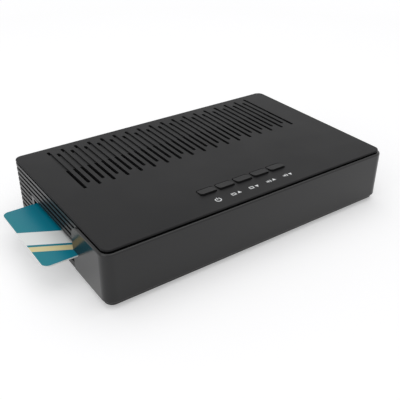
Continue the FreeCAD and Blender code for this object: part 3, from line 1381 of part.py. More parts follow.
# Parts on the main board, from the main chip's centre: x, y and, for the memory chips, width and depth
MEMORY_PLACES = ((-15, 17, 13, 9), (0, 17, 13, 9), (-15, 28, 7, 6))
LARGE_CAN_PLACES = ((23, 2), (23, -9))
SMALL_CAN_PLACES = ((20, 11), (20, 19), (20, 27))
CRYSTAL_PLACE = (-30, 20)
DOTS_PLACE = (-29, -24)
DOT_ROWS = 4
DOT_COLUMNS = 9
COILS = 3
# Trimming holes of the tuner can, from its left rear corner
TUNER_HOLES = ((6, 12), (14, 20), (8, 32))

# Places along the rear edge, chained from the power socket on the left to the tuner on the right
dc_x = S.board_inset_x + S.socket_first
lan_x = dc_x + S.dc_width + S.socket_gap
usb_x = lan_x + S.lan_width + S.socket_gap
scart_x = usb_x + S.usb_width + S.socket_gap
video_x = scart_x + S.scart_width + S.socket_gap
tuner_x = board_right - S.tuner_inset - S.tuner_width
aerial_x = tuner_x + S.tuner_width / 2
audio_x = tuner_x - S.socket_gap - S.audio_width / 2
chip_x = card_end - S.chip_from_end - S.chip_side_x
chip_y = S.card_front + S.chip_from_edge
board_screw_places = [
    (S.board_inset_x + S.boss_inset, S.board_front + S.boss_inset),
    (board_right - S.boss_inset, S.board_front + S.boss_inset),
    (S.board_inset_x + S.boss_inset, board_rear - S.socket_gap - S.lan_length),
    (audio_x, board_rear - S.socket_gap - S.lan_length),
]
key_post_places = [
    (S.key_first - S.key_board_margin / 2, S.key_board_front + S.key_board_depth / 2),
    (key_row_end + S.key_board_margin / 2, S.key_board_front + S.key_board_depth / 2),
]
KEY_NAMES = ["key_power", "key_channel_up", "key_channel_down", "key_volume_up", "key_volume_down"]

lower_case()
top_cover()
front_fascia()
rear_panel()
card_mouth()
smart_card()
card_chip()
card_reader()
for key_number, key_name in enumerate(KEY_NAMES):
    key(key_number, key_name)
key_board()
main_board()
rear_sockets()
front_board()
ribbons()
fixings()
doc.recompute()

# Every object and every sub-part is sound before anything is written
for thing in doc.Objects:
    if "Invalid" in thing.State or "Error" in thing.State:
        raise RuntimeError("%s failed: %s" % (thing.Name, thing.State))
for node in NODES:
    if node.Shape.isNull() or not node.Shape.isValid() or not node.Shape.Solids:
        raise RuntimeError("%s has no sound shape" % node.Label)

os.makedirs("parts", exist_ok=True)
for node in NODES:
    node.Shape.exportStep("parts/%s.step" % node.Label)
print("%d sub-parts written" % len(NODES))
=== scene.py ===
"""Satellite television receiver: finishes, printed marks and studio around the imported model."""
import math

import bmesh
import bpy
from bpy.props import FloatProperty, FloatVectorProperty, PointerProperty
from mathutils import Matrix, Vector


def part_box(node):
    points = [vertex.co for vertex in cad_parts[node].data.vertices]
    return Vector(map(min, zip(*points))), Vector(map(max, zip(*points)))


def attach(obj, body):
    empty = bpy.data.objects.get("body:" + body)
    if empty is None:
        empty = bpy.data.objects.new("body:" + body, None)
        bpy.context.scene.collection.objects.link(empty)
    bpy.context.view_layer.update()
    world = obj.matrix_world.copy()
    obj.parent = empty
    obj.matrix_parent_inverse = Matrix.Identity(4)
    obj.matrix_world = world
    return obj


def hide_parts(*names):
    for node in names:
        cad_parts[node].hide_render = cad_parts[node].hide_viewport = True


bl_info = {
    "name": "Satellite receiver dressing",
    "version": (1, 0, 0),
    "blender": (4, 5, 0),
    "location": "View3D > Sidebar > Receiver",
    "description": "Finishes, printed marks and studio for a small satellite television receiver",
    "category": "Object",
}

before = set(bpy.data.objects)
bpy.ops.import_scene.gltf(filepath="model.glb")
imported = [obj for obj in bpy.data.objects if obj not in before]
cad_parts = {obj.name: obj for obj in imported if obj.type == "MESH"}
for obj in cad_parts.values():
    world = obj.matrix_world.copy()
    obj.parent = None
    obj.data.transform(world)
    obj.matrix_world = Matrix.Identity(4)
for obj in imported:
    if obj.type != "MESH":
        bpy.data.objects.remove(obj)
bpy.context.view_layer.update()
MM = 0.001

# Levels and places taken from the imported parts, in metres.
LID_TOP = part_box("top_cover")[1].z
PANEL_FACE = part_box("rear_panel")[1].y
CARD_LOW, CARD_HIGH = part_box("smart_card")
KEYS = ("key_power", "key_channel_up", "key_channel_down", "key_volume_up", "key_volume_down")

# Camera, found by fitting the card and the housing corners to the photograph.
CAMERA_PLACE = Vector((-162.2, -246.1, 180.0)) * MM
CAMERA_TARGET = Vector((6.55, -6.35, 3.4)) * MM
CAMERA_ROLL = math.radians(0.31)
FOCAL_PIXELS = 606.7
PHOTO_PIXELS = 400
SENSOR_WIDTH = 36.0

# The melt's slow shade changes across a moulding are tens of millimetres long.
FLOW_SIZE = 30 * MM
# Real scratches are a few hundredths of a millimetre wide: drawn wider, so that they show.
SCRATCH_WIDTH = 0.3 * MM
SCRATCH_DEPTH = 0.01 * MM
INK_THICKNESS = 0.04 * MM
# Points of a piece that lie closer than this are one.
PIECE_WELD = 0.0005 * MM

# Inputs and output of a colour mixing node, and the middle range that noise patterns fill.
SHARE = 0
A_COLOUR = 6
B_COLOUR = 7
MIXED_COLOUR = 2
MIDDLE_RANGE = {"From Min": 0.3, "From Max": 0.7}

# From the free end towards the slot the printed ground turns bluer: painted shade where the case keeps light
# off the card. Its bands run slantwise over the free end.
CARD_SHADE_RUN = 22 * MM
CARD_BAND_TURN = math.radians(28)
CARD_BAND_SHIFT = (0.0, 48 * MM, 0.0)
CARD_BAND_GAP = 1.6 * MM
CARD_PRINT_DEPTH = 0.05 * MM
CARD_PEEL_SIZE = 1.5 * MM

# Copper tracks under the solder mask, and the board's weave.
TRACK_WIDTH = 0.25 * MM
TRACK_RUN = 9 * MM
TRACK_PITCH = 1.3 * MM
TRACK_HEIGHT = 0.03 * MM
WEAVE_SIZE = 1.2 * MM

# How finely rings are drawn.
RING_STEPS = 28

# The loudspeaker sign, in shares of its size.
MAGNET_PLACE = -0.45
MAGNET_WIDTH = 0.4
MAGNET_HEIGHT = 0.55
CONE_PLACE = -0.12
CONE_RADIUS = 0.58
WAVE_PLACE = 0.05
WAVE_RADIUS = 0.62
WAVE_HALF = math.radians(48)

# The standby sign: half of the ring's gap, and its bar in shares of the ring's radius.
POWER_GAP = math.radians(34)
POWER_BAR_PLACE = 0.72
POWER_BAR_LENGTH = 1.1

# Marks in front of the keys.
KEY_MARK_OFFSET = 1.7 * MM
KEY_RING_RADIUS = 1.45 * MM
KEY_SCREEN_WIDTH = 2.2 * MM
KEY_SCREEN_HEIGHT = 1.5 * MM
KEY_SPEAKER_SIZE = 2.0 * MM
KEY_ARROW_RADIUS = 1.25 * MM

# Mesh of the printing screen.
INK_MESH_SIZE = 0.3 * MM

# Marks over the sockets.
REAR_MARK_LEVEL = 25.4 * MM
POLARITY_PITCH = 3.2 * MM
POLARITY_RADIUS = 1.0 * MM
POLARITY_STROKE = 0.6
POLARITY_DOT = 0.5
POLARITY_CUP = 1.1
CUP_START = math.radians(60)
CUP_SWEEP = math.radians(240)
STATION_PITCH = 1.7 * MM
STATION_SIZE = 1.2 * MM
STATION_RISE = 0.7 * STATION_PITCH
STATION_STROKE = 0.8
SCREEN_WIDTHS = (("scart_socket", 3.4 * MM), ("video_shell", 2.6 * MM))
SCREEN_SHAPE = 0.6
SCREEN_FOOT = 0.45
SOUND_SIZE = 2.4 * MM
DISH_RADII = (1.2 * MM, 2.1 * MM)
DISH_START = math.radians(45)
DISH_SWEEP = math.radians(90)
MAST_LENGTH = 2.0 * MM

# A 3/8 inch by 32 thread, as on every aerial plug of this kind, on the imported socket's own radii.
THREAD_PITCH = 25.4 / 32 * MM
THREAD_CREST = 4.76 * MM
THREAD_ROOT = 4.3 * MM
THREAD_BORE = 3.9 * MM
THREAD_START = 0.7 * MM
NECK_RADIUS = 4.36 * MM
THREAD_STEPS = 40
THREAD_PROFILE = (
    (THREAD_ROOT, 0.0), (THREAD_CREST, 0.36), (THREAD_CREST, 0.5), (THREAD_ROOT, 0.86), (THREAD_ROOT, 1.0),
)
THREAD_WELD = 0.005 * MM
RIM_REACH = 0.002 * MM
FLANGE_THICKNESS = 1.5 * MM
FLANGE_RADIUS = 6.0 * MM

# Floor, and how much brighter it looks to the camera than its light makes it: more where the lamps' light
# ends.
FLOOR_SIZE = 12.0
FLOOR_LIFT = 0.32
FLOOR_FAR_LIFT = 0.62
FLOOR_NEAR = 0.45
FLOOR_FAR = 1.6

# Lamps: name, setting of their power, side, place and what they point at, in metres.
LAMPS = (
    ("softbox", "softbox", 1.4, (0.15, 0.1, 1.1), (0.0, 0.0, 0.0)),
    ("left_fill", "fill", 0.8, (-0.9, -0.2, 0.6), (0.0, 0.0, 0.02)),
)
CLIP_START = 0.01


def linear(code):
    """Turns an sRGB hex colour into linear values with an alpha of one."""
    values = [int(code[place:place + 2], 16) / 255 for place in (1, 3, 5)]
    return (*[v / 12.92 if v <= 0.04045 else ((v + 0.055) / 1.055) ** 2.4 for v in values], 1.0)


def colour_setting(name, description, code):
    """A colour that the user may change."""
    return FloatVectorProperty(
        name=name, description=description, subtype="COLOR", size=4, min=0.0, max=1.0, default=linear(code),
    )


def length_setting(name, description, millimetres):
    """A length that the user may change."""
    return FloatProperty(
        name=name, description=description, unit="LENGTH", subtype="DISTANCE", min=0.0,
        default=millimetres * MM, precision=5,
    )


class RECEIVER_PG_housing(bpy.types.PropertyGroup):
    """Colours of the mouldings."""
    lid: colour_setting("Lid", "Fine-textured cover and keys", "#1b1b1c")
    case: colour_setting("Case", "Louvred tray and rear panel", "#1e1e1f")
    fascia: colour_setting("Fascia", "Gloss front moulding", "#0e0e0f")
    lid_grain: length_setting("Lid grain", "Width of the cover's tool texture", 0.7)
    case_grain: length_setting("Case grain", "Width of the tray's tool texture", 0.9)


class RECEIVER_PG_card(bpy.types.PropertyGroup):
    """Colours and bands of the card."""
    field: colour_setting("Field", "Printed ground of the card", "#008390")
    # Painted shade: the card's colour next to the slot, where the case keeps light off it.
    shade: colour_setting("Shade", "Bluer end of the printed ground", "#00809c")
    core: colour_setting("Core", "White plastic under the print", "#f2f5f4")
    gold: colour_setting("Gold", "Pale metallic stripe", "#e4d7a4")
    white_band: length_setting("White band", "Width of the white band", 11.0)
    gold_band: length_setting("Gold band", "Width of the gold stripe", 4.0)


class RECEIVER_PG_marks(bpy.types.PropertyGroup):
    """Sizes of the printed marks."""
    ink: colour_setting("Ink", "Screen-printed ink", "#e9ebec")
    rise: length_setting("Distance to keys", "From the keys' front edge to the middle of their marks", 6.0)
    stroke: length_setting("Stroke", "Line width of the marks", 0.5)


class RECEIVER_PG_studio(bpy.types.PropertyGroup):
    """Light and floor."""
    floor: colour_setting("Floor", "Pale floor", "#ededee")
    softbox: FloatProperty(name="Softbox", description="Power of the large light", unit="POWER", default=5.0)
    fill: FloatProperty(name="Fill", description="Power of the light at the left", unit="POWER", default=1.6)
    ambient: FloatProperty(name="Ambient", description="Strength of the even light", default=0.5, min=0.0)


def add(tree, kind, settings=None, links=None):
    """Adds a node with its settings and links. A number or an input's name sets that input."""
    made = tree.nodes.new(kind)
    for key, value in (settings or {}).items():
        if isinstance(key, int) or key in made.inputs:
            made.inputs[key].default_value = value
        else:
            setattr(made, key, value)
    for key, source in (links or {}).items():
        tree.links.new(source, made.inputs[key])
    return made


def new_finish(name):
    """An empty material, its tree, and the place of each point on the piece."""
    material = bpy.data.materials.new(name)
    material.use_nodes = True
    tree = material.node_tree
    tree.nodes.clear()
    return material, tree, add(tree, "ShaderNodeTexCoord").outputs["Object"]


def finished(material, tree, shader):
    """Sends the shader to the material's output."""
    add(tree, "ShaderNodeOutputMaterial", links={"Surface": shader.outputs[0]})
    return material


def lighter(colour, times):
    """The same colour, brighter or darker."""
    return (*[min(1.0, v * times) for v in tuple(colour)[:3]], 1.0)


def moulded_plastic(name, colour, roughness, grain, relief, specular=0.5, variation=1.16, **more):
    """Injection-moulded plastic: the tool's grain softens the highlight, and the melt shades it slightly."""
    material, tree, place = new_finish(name)
    pits = add(tree, "ShaderNodeTexNoise", {"Scale": 1 / grain, "Detail": 3.0}, {"Vector": place})
    flow = add(tree, "ShaderNodeTexNoise", {"Scale": 1 / FLOW_SIZE, "Detail": 2.0}, {"Vector": place})
    bump = add(tree, "ShaderNodeBump", {"Strength": 0.3, "Distance": relief}, {"Height": pits.outputs["Fac"]})
    shade = add(
        tree, "ShaderNodeMix", {"data_type": "RGBA", A_COLOUR: colour, B_COLOUR: lighter(colour, variation)},
        {SHARE: flow.outputs["Fac"]},
    )
    polish = add(
        tree, "ShaderNodeMapRange",
        {**MIDDLE_RANGE, "To Min": roughness * 0.93, "To Max": roughness * 1.08},
        {"Value": flow.outputs["Fac"]},
    )
    shader = add(
        tree, "ShaderNodeBsdfPrincipled", {"IOR": 1.54, "Specular IOR Level": specular, **more},
        {
            "Base Color": shade.outputs[MIXED_COLOUR],
            "Roughness": polish.outputs["Result"],
            "Normal": bump.outputs["Normal"],
        },
    )
    return finished(material, tree, shader)


def metal(name, code, tarnish, roughness, stain_size, lines=(1, 1, 1), bump=0.2):
    """Plated, rolled or cast metal: a mirror softened by fine scratches, with slight tarnish."""
    material, tree, place = new_finish(name)
    clouds = add(tree, "ShaderNodeTexNoise", {"Scale": 1 / stain_size, "Detail": 4.0}, {"Vector": place})
    stretch = add(tree, "ShaderNodeMapping", {"Scale": lines}, {"Vector": place})
    marks = add(
        tree, "ShaderNodeTexNoise", {"Scale": 1 / SCRATCH_WIDTH, "Detail": 2.0},
        {"Vector": stretch.outputs[0]},
    )
    relief = add(
        tree, "ShaderNodeBump", {"Strength": bump, "Distance": SCRATCH_DEPTH},
        {"Height": marks.outputs["Fac"]},
    )
    shade = add(
        tree, "ShaderNodeMix", {"data_type": "RGBA", A_COLOUR: linear(code), B_COLOUR: linear(tarnish)},
        {SHARE: clouds.outputs["Fac"]},
    )
    polish = add(
        tree, "ShaderNodeMapRange",
        {**MIDDLE_RANGE, "To Min": roughness * 0.8, "To Max": roughness * 1.3},
        {"Value": marks.outputs["Fac"]},
    )
    shader = add(
        tree, "ShaderNodeBsdfPrincipled", {"Metallic": 1.0},
        {
            "Base Color": shade.outputs[MIXED_COLOUR],
            "Roughness": polish.outputs["Result"],
            "Normal": relief.outputs["Normal"],
        },
    )
    return finished(material, tree, shader)


def printed_card(settings):
    """Laminated PVC card: offset-printed face under a clear film, with painted shade towards the slot, and a
    bare white core at the edges.
    """
    material, tree, place = new_finish("laminated_pvc")
    parts = add(tree, "ShaderNodeSeparateXYZ", links={"Vector": place}).outputs
    turned = add(
        tree, "ShaderNodeMapping",
        {"vector_type": "POINT", "Location": CARD_BAND_SHIFT, "Rotation": (0, 0, CARD_BAND_TURN)},
        {"Vector": place},
    )
    across = add(tree, "ShaderNodeSeparateXYZ", links={"Vector": turned.outputs[0]}).outputs["Y"]
    # Painted shade: the ground goes from its own colour at the free end to the shade colour towards the slot,
    # and the bands are printed over it.
    slot_shade_share = add(
        tree, "ShaderNodeMapRange", {"From Min": CARD_LOW.x, "From Max": CARD_LOW.x + CARD_SHADE_RUN},
        {"Value": parts["X"]},
    )
    field = add(
        tree, "ShaderNodeMix", {"data_type": "RGBA", A_COLOUR: settings.field, B_COLOUR: settings.shade},
        {SHARE: slot_shade_share.outputs["Result"]},
    )
    gold_middle = -(settings.white_band / 2 + CARD_BAND_GAP + settings.gold_band / 2)
    printed = field.outputs[MIXED_COLOUR]
    for ink, middle, width in (
        (settings.core, 0.0, settings.white_band),
        (settings.gold, gold_middle, settings.gold_band),
    ):
        inside = add(
            tree, "ShaderNodeMath", {"operation": "COMPARE", 1: middle, 2: width / 2}, {0: across},
        )
        layer = add(
            tree, "ShaderNodeMix", {"data_type": "RGBA", B_COLOUR: ink},
            {SHARE: inside.outputs[0], A_COLOUR: printed},
        )
        printed = layer.outputs[MIXED_COLOUR]
    face = add(
        tree, "ShaderNodeMath", {"operation": "GREATER_THAN", 1: CARD_HIGH.z - CARD_PRINT_DEPTH},
        {0: parts["Z"]},
    )
    peel = add(tree, "ShaderNodeTexNoise", {"Scale": 1 / CARD_PEEL_SIZE}, {"Vector": place})
    relief = add(
        tree, "ShaderNodeBump", {"Strength": 0.1, "Distance": SCRATCH_DEPTH}, {"Height": peel.outputs["Fac"]},
    )
    colour = add(
        tree, "ShaderNodeMix", {"data_type": "RGBA", A_COLOUR: settings.core},
        {SHARE: face.outputs[0], B_COLOUR: printed},
    )
    shader = add(
        tree, "ShaderNodeBsdfPrincipled", {"IOR": 1.53, "Roughness": 0.3, "Specular IOR Level": 0.2},
        {"Base Color": colour.outputs[MIXED_COLOUR], "Normal": relief.outputs["Normal"]},
    )
    return finished(material, tree, shader)


def solder_mask(name, code, track):
    """Glass-epoxy board under green solder mask: copper tracks show through as lighter raised lines."""
    material, tree, place = new_finish(name)
    tracks = add(
        tree, "ShaderNodeTexBrick",
        {
            "Scale": 1.0, "Mortar Size": TRACK_WIDTH, "Brick Width": TRACK_RUN, "Row Height": TRACK_PITCH,
            "offset": 0.37, "squash": 0.6, "squash_frequency": 3,
            "Color1": (0, 0, 0, 1), "Color2": (0, 0, 0, 1), "Mortar": (1, 1, 1, 1),
        },
        {"Vector": place},
    )
    weave = add(tree, "ShaderNodeTexNoise", {"Scale": 1 / WEAVE_SIZE}, {"Vector": place})
    relief = add(
        tree, "ShaderNodeBump", {"Strength": 0.5, "Distance": TRACK_HEIGHT},
        {"Height": tracks.outputs["Fac"]},
    )
    base = add(
        tree, "ShaderNodeMix",
        {"data_type": "RGBA", A_COLOUR: linear(code), B_COLOUR: lighter(linear(code), 1.3)},
        {SHARE: weave.outputs["Fac"]},
    )
    colour = add(
        tree, "ShaderNodeMix", {"data_type": "RGBA", B_COLOUR: linear(track)},
        {SHARE: tracks.outputs["Fac"], A_COLOUR: base.outputs[MIXED_COLOUR]},
    )
    shader = add(
        tree, "ShaderNodeBsdfPrincipled", {"Roughness": 0.32},
        {"Base Color": colour.outputs[MIXED_COLOUR], "Normal": relief.outputs["Normal"]},
    )
    return finished(material, tree, shader)


def lens(name, code, roughness, transmission):
    """Polished dye-filled lens: dark or pale body under a mirror-smooth skin."""
    material, tree, place = new_finish(name)
    haze = add(tree, "ShaderNodeTexNoise", {"Scale": 1 / FLOW_SIZE}, {"Vector": place})
    dye = add(
        tree, "ShaderNodeMix",
        {"data_type": "RGBA", A_COLOUR: linear(code), B_COLOUR: lighter(linear(code), 1.2)},
        {SHARE: haze.outputs["Fac"]},
    )
    polish = add(
        tree, "ShaderNodeMapRange",
        {**MIDDLE_RANGE, "To Min": roughness, "To Max": roughness * 1.5}, {"Value": haze.outputs["Fac"]},
    )
    shader = add(
        tree, "ShaderNodeBsdfPrincipled", {"IOR": 1.57, "Transmission Weight": transmission},
        {"Base Color": dye.outputs[MIXED_COLOUR], "Roughness": polish.outputs["Result"]},
    )
    return finished(material, tree, shader)


def print_ink(colour):
    """Screen-printed epoxy ink: flat white with a faint mesh texture."""
    material, tree, place = new_finish("screen_print_ink")
    screen = add(tree, "ShaderNodeTexNoise", {"Scale": 1 / INK_MESH_SIZE}, {"Vector": place})
    shade = add(
        tree, "ShaderNodeMix", {"data_type": "RGBA", A_COLOUR: lighter(colour, 0.9), B_COLOUR: colour},
        {SHARE: screen.outputs["Fac"]},
    )
    shader = add(
        tree, "ShaderNodeBsdfPrincipled", {"Roughness": 0.5}, {"Base Color": shade.outputs[MIXED_COLOUR]},
    )
    return finished(material, tree, shader)


def dress(finish, slot_name):
    """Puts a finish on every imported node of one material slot."""
    found = 0
    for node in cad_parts.values():
        for place in node.material_slots:
            if place.material.name == slot_name:
                place.material = finish
                found += 1
    if not found:
        raise RuntimeError("no node has the slot " + slot_name)


def make_piece(name, mesh, finish, body):
    """Makes an object of a built shape and sets it on its body."""
    bmesh.ops.remove_doubles(mesh, verts=mesh.verts, dist=PIECE_WELD)
    bmesh.ops.recalc_face_normals(mesh, faces=mesh.faces)
    data = bpy.data.meshes.new(name)
    mesh.to_mesh(data)
    mesh.free()
    data.materials.append(finish)
    piece = bpy.data.objects.new(name, data)
    bpy.context.scene.collection.objects.link(piece)
    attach(piece, body)
    return piece


class Ink:
    """Flat printed shapes, drawn in a plane and then laid on a face."""

    def __init__(self, stroke):
        self.mesh = bmesh.new()
        self.stroke = stroke
        self.fresh = 0

    def bar(self, across, up, width, height):
        """A straight bar, given by its middle."""
        place = Matrix.Translation((across, up, INK_THICKNESS / 2))
        size = Matrix.Diagonal((width, height, INK_THICKNESS, 1.0))
        bmesh.ops.create_cube(self.mesh, size=1.0, matrix=place @ size)

    def arc(self, across, up, radius, start, sweep):
        """A ring or part of one, made by spinning the stroke's section."""
        inner = radius - self.stroke / 2
        outer = radius + self.stroke / 2
        turn = Matrix.Rotation(start, 3, "Z")
        middle = Vector((across, up, 0.0))
        corners = ((inner, 0.0), (outer, 0.0), (outer, INK_THICKNESS), (inner, INK_THICKNESS))
        points = [self.mesh.verts.new(middle + turn @ Vector((r, 0.0, z))) for r, z in corners]
        closed = abs(sweep) >= 2 * math.pi
        section = [self.mesh.edges.new((points[k], points[(k + 1) % 4])) for k in range(4)]
        if not closed:
            section.append(self.mesh.faces.new(points))
        bmesh.ops.spin(
            self.mesh, geom=points + section, cent=middle, axis=(0, 0, 1), angle=sweep,
            steps=RING_STEPS, use_merge=closed,
        )

    def polygon(self, across, up, radius, sides, turn=0.0):
        """A regular polygon or disc."""
        place = Matrix.Translation((across, up, 0.0)) @ Matrix.Rotation(turn, 4, "Z")
        made = bmesh.ops.create_circle(self.mesh, cap_ends=True, segments=sides, radius=radius, matrix=place)
        faces = {face for vert in made["verts"] for face in vert.link_faces}
        grown = bmesh.ops.extrude_face_region(self.mesh, geom=list(faces), use_keep_orig=True)
        tops = [part for part in grown["geom"] if isinstance(part, bmesh.types.BMVert)]
        bmesh.ops.translate(self.mesh, verts=tops, vec=(0, 0, INK_THICKNESS))

    def screen(self, across, up, width, height):
        """The outline of a small screen."""
        for side in (-1, 1):
            self.bar(across, up + side * height / 2, width + self.stroke, self.stroke)
            self.bar(across + side * width / 2, up, self.stroke, height)

    def speaker(self, across, up, size):
        """A loudspeaker with one sound wave."""
        self.bar(across + size * MAGNET_PLACE, up, size * MAGNET_WIDTH, size * MAGNET_HEIGHT)
        self.polygon(across + size * CONE_PLACE, up, size * CONE_RADIUS, 3, math.pi / 2)
        self.arc(across + size * WAVE_PLACE, up, size * WAVE_RADIUS, -WAVE_HALF, 2 * WAVE_HALF)

    def lay(self, place):
        """Lays what was drawn since the last call on its face."""
        self.mesh.verts.ensure_lookup_table()
        drawn = self.mesh.verts[self.fresh:]
        bmesh.ops.transform(self.mesh, matrix=place, verts=drawn)
        self.fresh = len(self.mesh.verts)


def draw_power(ink, radius):
    """The common standby sign: an open ring with a bar."""
    ink.arc(0.0, 0.0, radius, math.pi / 2 + POWER_GAP, 2 * math.pi - 2 * POWER_GAP)
    ink.bar(0.0, radius * POWER_BAR_PLACE, ink.stroke, radius * POWER_BAR_LENGTH)


class RECEIVER_OT_housing(bpy.types.Operator):
    """Gives the lid, tray, fascia, keys and feet their plastics"""
    bl_idname = "receiver.housing"
    bl_label = "Housing finishes"

    def execute(self, context):
        colours = context.scene.receiver_housing
        # Cover of ABS from a spark-eroded tool: an even, fine matt.
        dress(
            moulded_plastic("textured_abs", colours.lid, 0.5, colours.lid_grain, 0.03 * MM, specular=0.13),
            "lid_plastic",
        )
        # Tray of ABS from a stoned tool: satin, so the louvre ribs catch a soft line of light.
        dress(
            moulded_plastic("satin_abs", colours.case, 0.36, colours.case_grain, 0.02 * MM, specular=0.34),
            "case_plastic",
        )
        # Fascia of piano-black ABS from a polished tool: clear reflections of card and floor.
        dress(
            moulded_plastic(
                "gloss_abs", colours.fascia, 0.2, 4 * MM, 0.004 * MM, specular=0.38,
                **{"Coat Weight": 0.05, "Coat Roughness": 0.1},
            ),
            "gloss_plastic",
        )
        # Feet of moulded synthetic rubber: dull and slightly dusty.
        dress(
            moulded_plastic("moulded_rubber", linear("#1f1f20"), 0.85, 0.5 * MM, 0.05 * MM, specular=0.3),
            "foot_rubber",
        )
        return {"FINISHED"}


class RECEIVER_OT_card(bpy.types.Operator):
    """Gives the smart card its print and its gold contacts"""
    bl_idname = "receiver.card"
    bl_label = "Card finishes"

    def execute(self, context):
        dress(printed_card(context.scene.receiver_card), "card_plastic")
        # Hard gold flash over nickel: warm, nearly a mirror.
        dress(metal("gold_plate", "#d8a848", "#c8963a", 0.2, 6 * MM), "gold_contacts")
        return {"FINISHED"}


class RECEIVER_OT_sockets(bpy.types.Operator):
    """Gives the rear sockets their plastics and plated metals"""
    bl_idname = "receiver.sockets"
    bl_label = "Socket finishes"

    def execute(self, context):
        # Glass-filled PBT: a slightly coarse, dull black with short fibre marks.
        dress(
            moulded_plastic("glass_filled_pbt", linear("#1b1b1c"), 0.5, 0.35 * MM, 0.03 * MM),
            "black_plastic",
        )
        # Natural nylon: milky and waxy.
        dress(
            moulded_plastic(
                "natural_nylon", linear("#dcd9cf"), 0.42, 0.8 * MM, 0.02 * MM, 0.45, 1.05,
                **{"Subsurface Weight": 0.1, "Subsurface Scale": 0.6 * MM},
            ),
            "white_plastic",
        )
        # Coloured ABS of a digital sound socket: saturated satin orange.
        dress(moulded_plastic("orange_abs", linear("#d8661c"), 0.38, 0.8 * MM, 0.02 * MM), "orange_plastic")
        # Bright nickel plate: a slightly warm mirror with fine handling marks.
        dress(metal("bright_nickel", "#c3c1ba", "#b3b0a6", 0.16, 5 * MM), "nickel")
        return {"FINISHED"}


class RECEIVER_OT_electronics(bpy.types.Operator):
    """Gives the boards, chips, shields, screws and lamps their finishes"""
    bl_idname = "receiver.electronics"
    bl_label = "Electronics finishes"

    def execute(self, context):
        dress(solder_mask("solder_mask", "#1d5a2e", "#3f8a45"), "circuit_board")
        # Transfer-moulded epoxy: flat charcoal with a fine filler grain.
        dress(
            moulded_plastic("filled_epoxy", linear("#232324"), 0.62, 0.3 * MM, 0.02 * MM, specular=0.4),
            "chip_epoxy",
        )
        # Tinned sheet steel: soft grey shine with spangled clouds and rolling lines along the sheet.
        dress(metal("tinned_steel", "#bbbdbe", "#9c9ea0", 0.3, 3 * MM, (0.06, 1, 1)), "tinned_steel")
        # Black anodised extrusion: dark metal with drawn lines along its fins.
        dress(
            metal("black_anodised", "#2b2c2f", "#222326", 0.45, 4 * MM, (1, 0.05, 1), bump=0.4),
            "sink_aluminium",
        )
        # Sleeved capacitor cans of drawn aluminium: pale satin grey.
        dress(metal("drawn_aluminium", "#aab0b6", "#989ea5", 0.32, 2 * MM, (1, 1, 0.08)), "can_aluminium")
        # Zinc-plated steel screws: bluish grey with cloudy passivation.
        dress(metal("zinc_plate", "#aab0b4", "#a6a58f", 0.35, 1.5 * MM), "zinc_steel")
        dress(lens("smoked_polycarbonate", "#1b1418", 0.08, 0.0), "smoked_lens")
        dress(lens("clear_acrylic", "#cfe3d4", 0.1, 0.6), "lamp_lens")
        return {"FINISHED"}


class RECEIVER_OT_key_marks(bpy.types.Operator):
    """Prints the standby, channel and volume marks in front of the keys"""
    bl_idname = "receiver.key_marks"
    bl_label = "Key marks"

    def execute(self, context):
        settings = context.scene.receiver_marks
        ink = Ink(settings.stroke)
        up, down = 0.0, math.pi
        half = KEY_MARK_OFFSET
        for name, direction in zip(KEYS, (None, up, down, up, down)):
            low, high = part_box(name)
            middle = (low.x + high.x) / 2
            if direction is None:
                draw_power(ink, KEY_RING_RADIUS)
            else:
                if "channel" in name:
                    ink.screen(-half, 0.0, KEY_SCREEN_WIDTH, KEY_SCREEN_HEIGHT)
                else:
                    ink.speaker(-half, 0.0, KEY_SPEAKER_SIZE)
                ink.polygon(half, 0.0, KEY_ARROW_RADIUS, 3, direction)
            ink.lay(Matrix.Translation((middle, low.y - settings.rise, LID_TOP)))
        make_piece("key_marks", ink.mesh, print_ink(settings.ink), "housing")
        return {"FINISHED"}


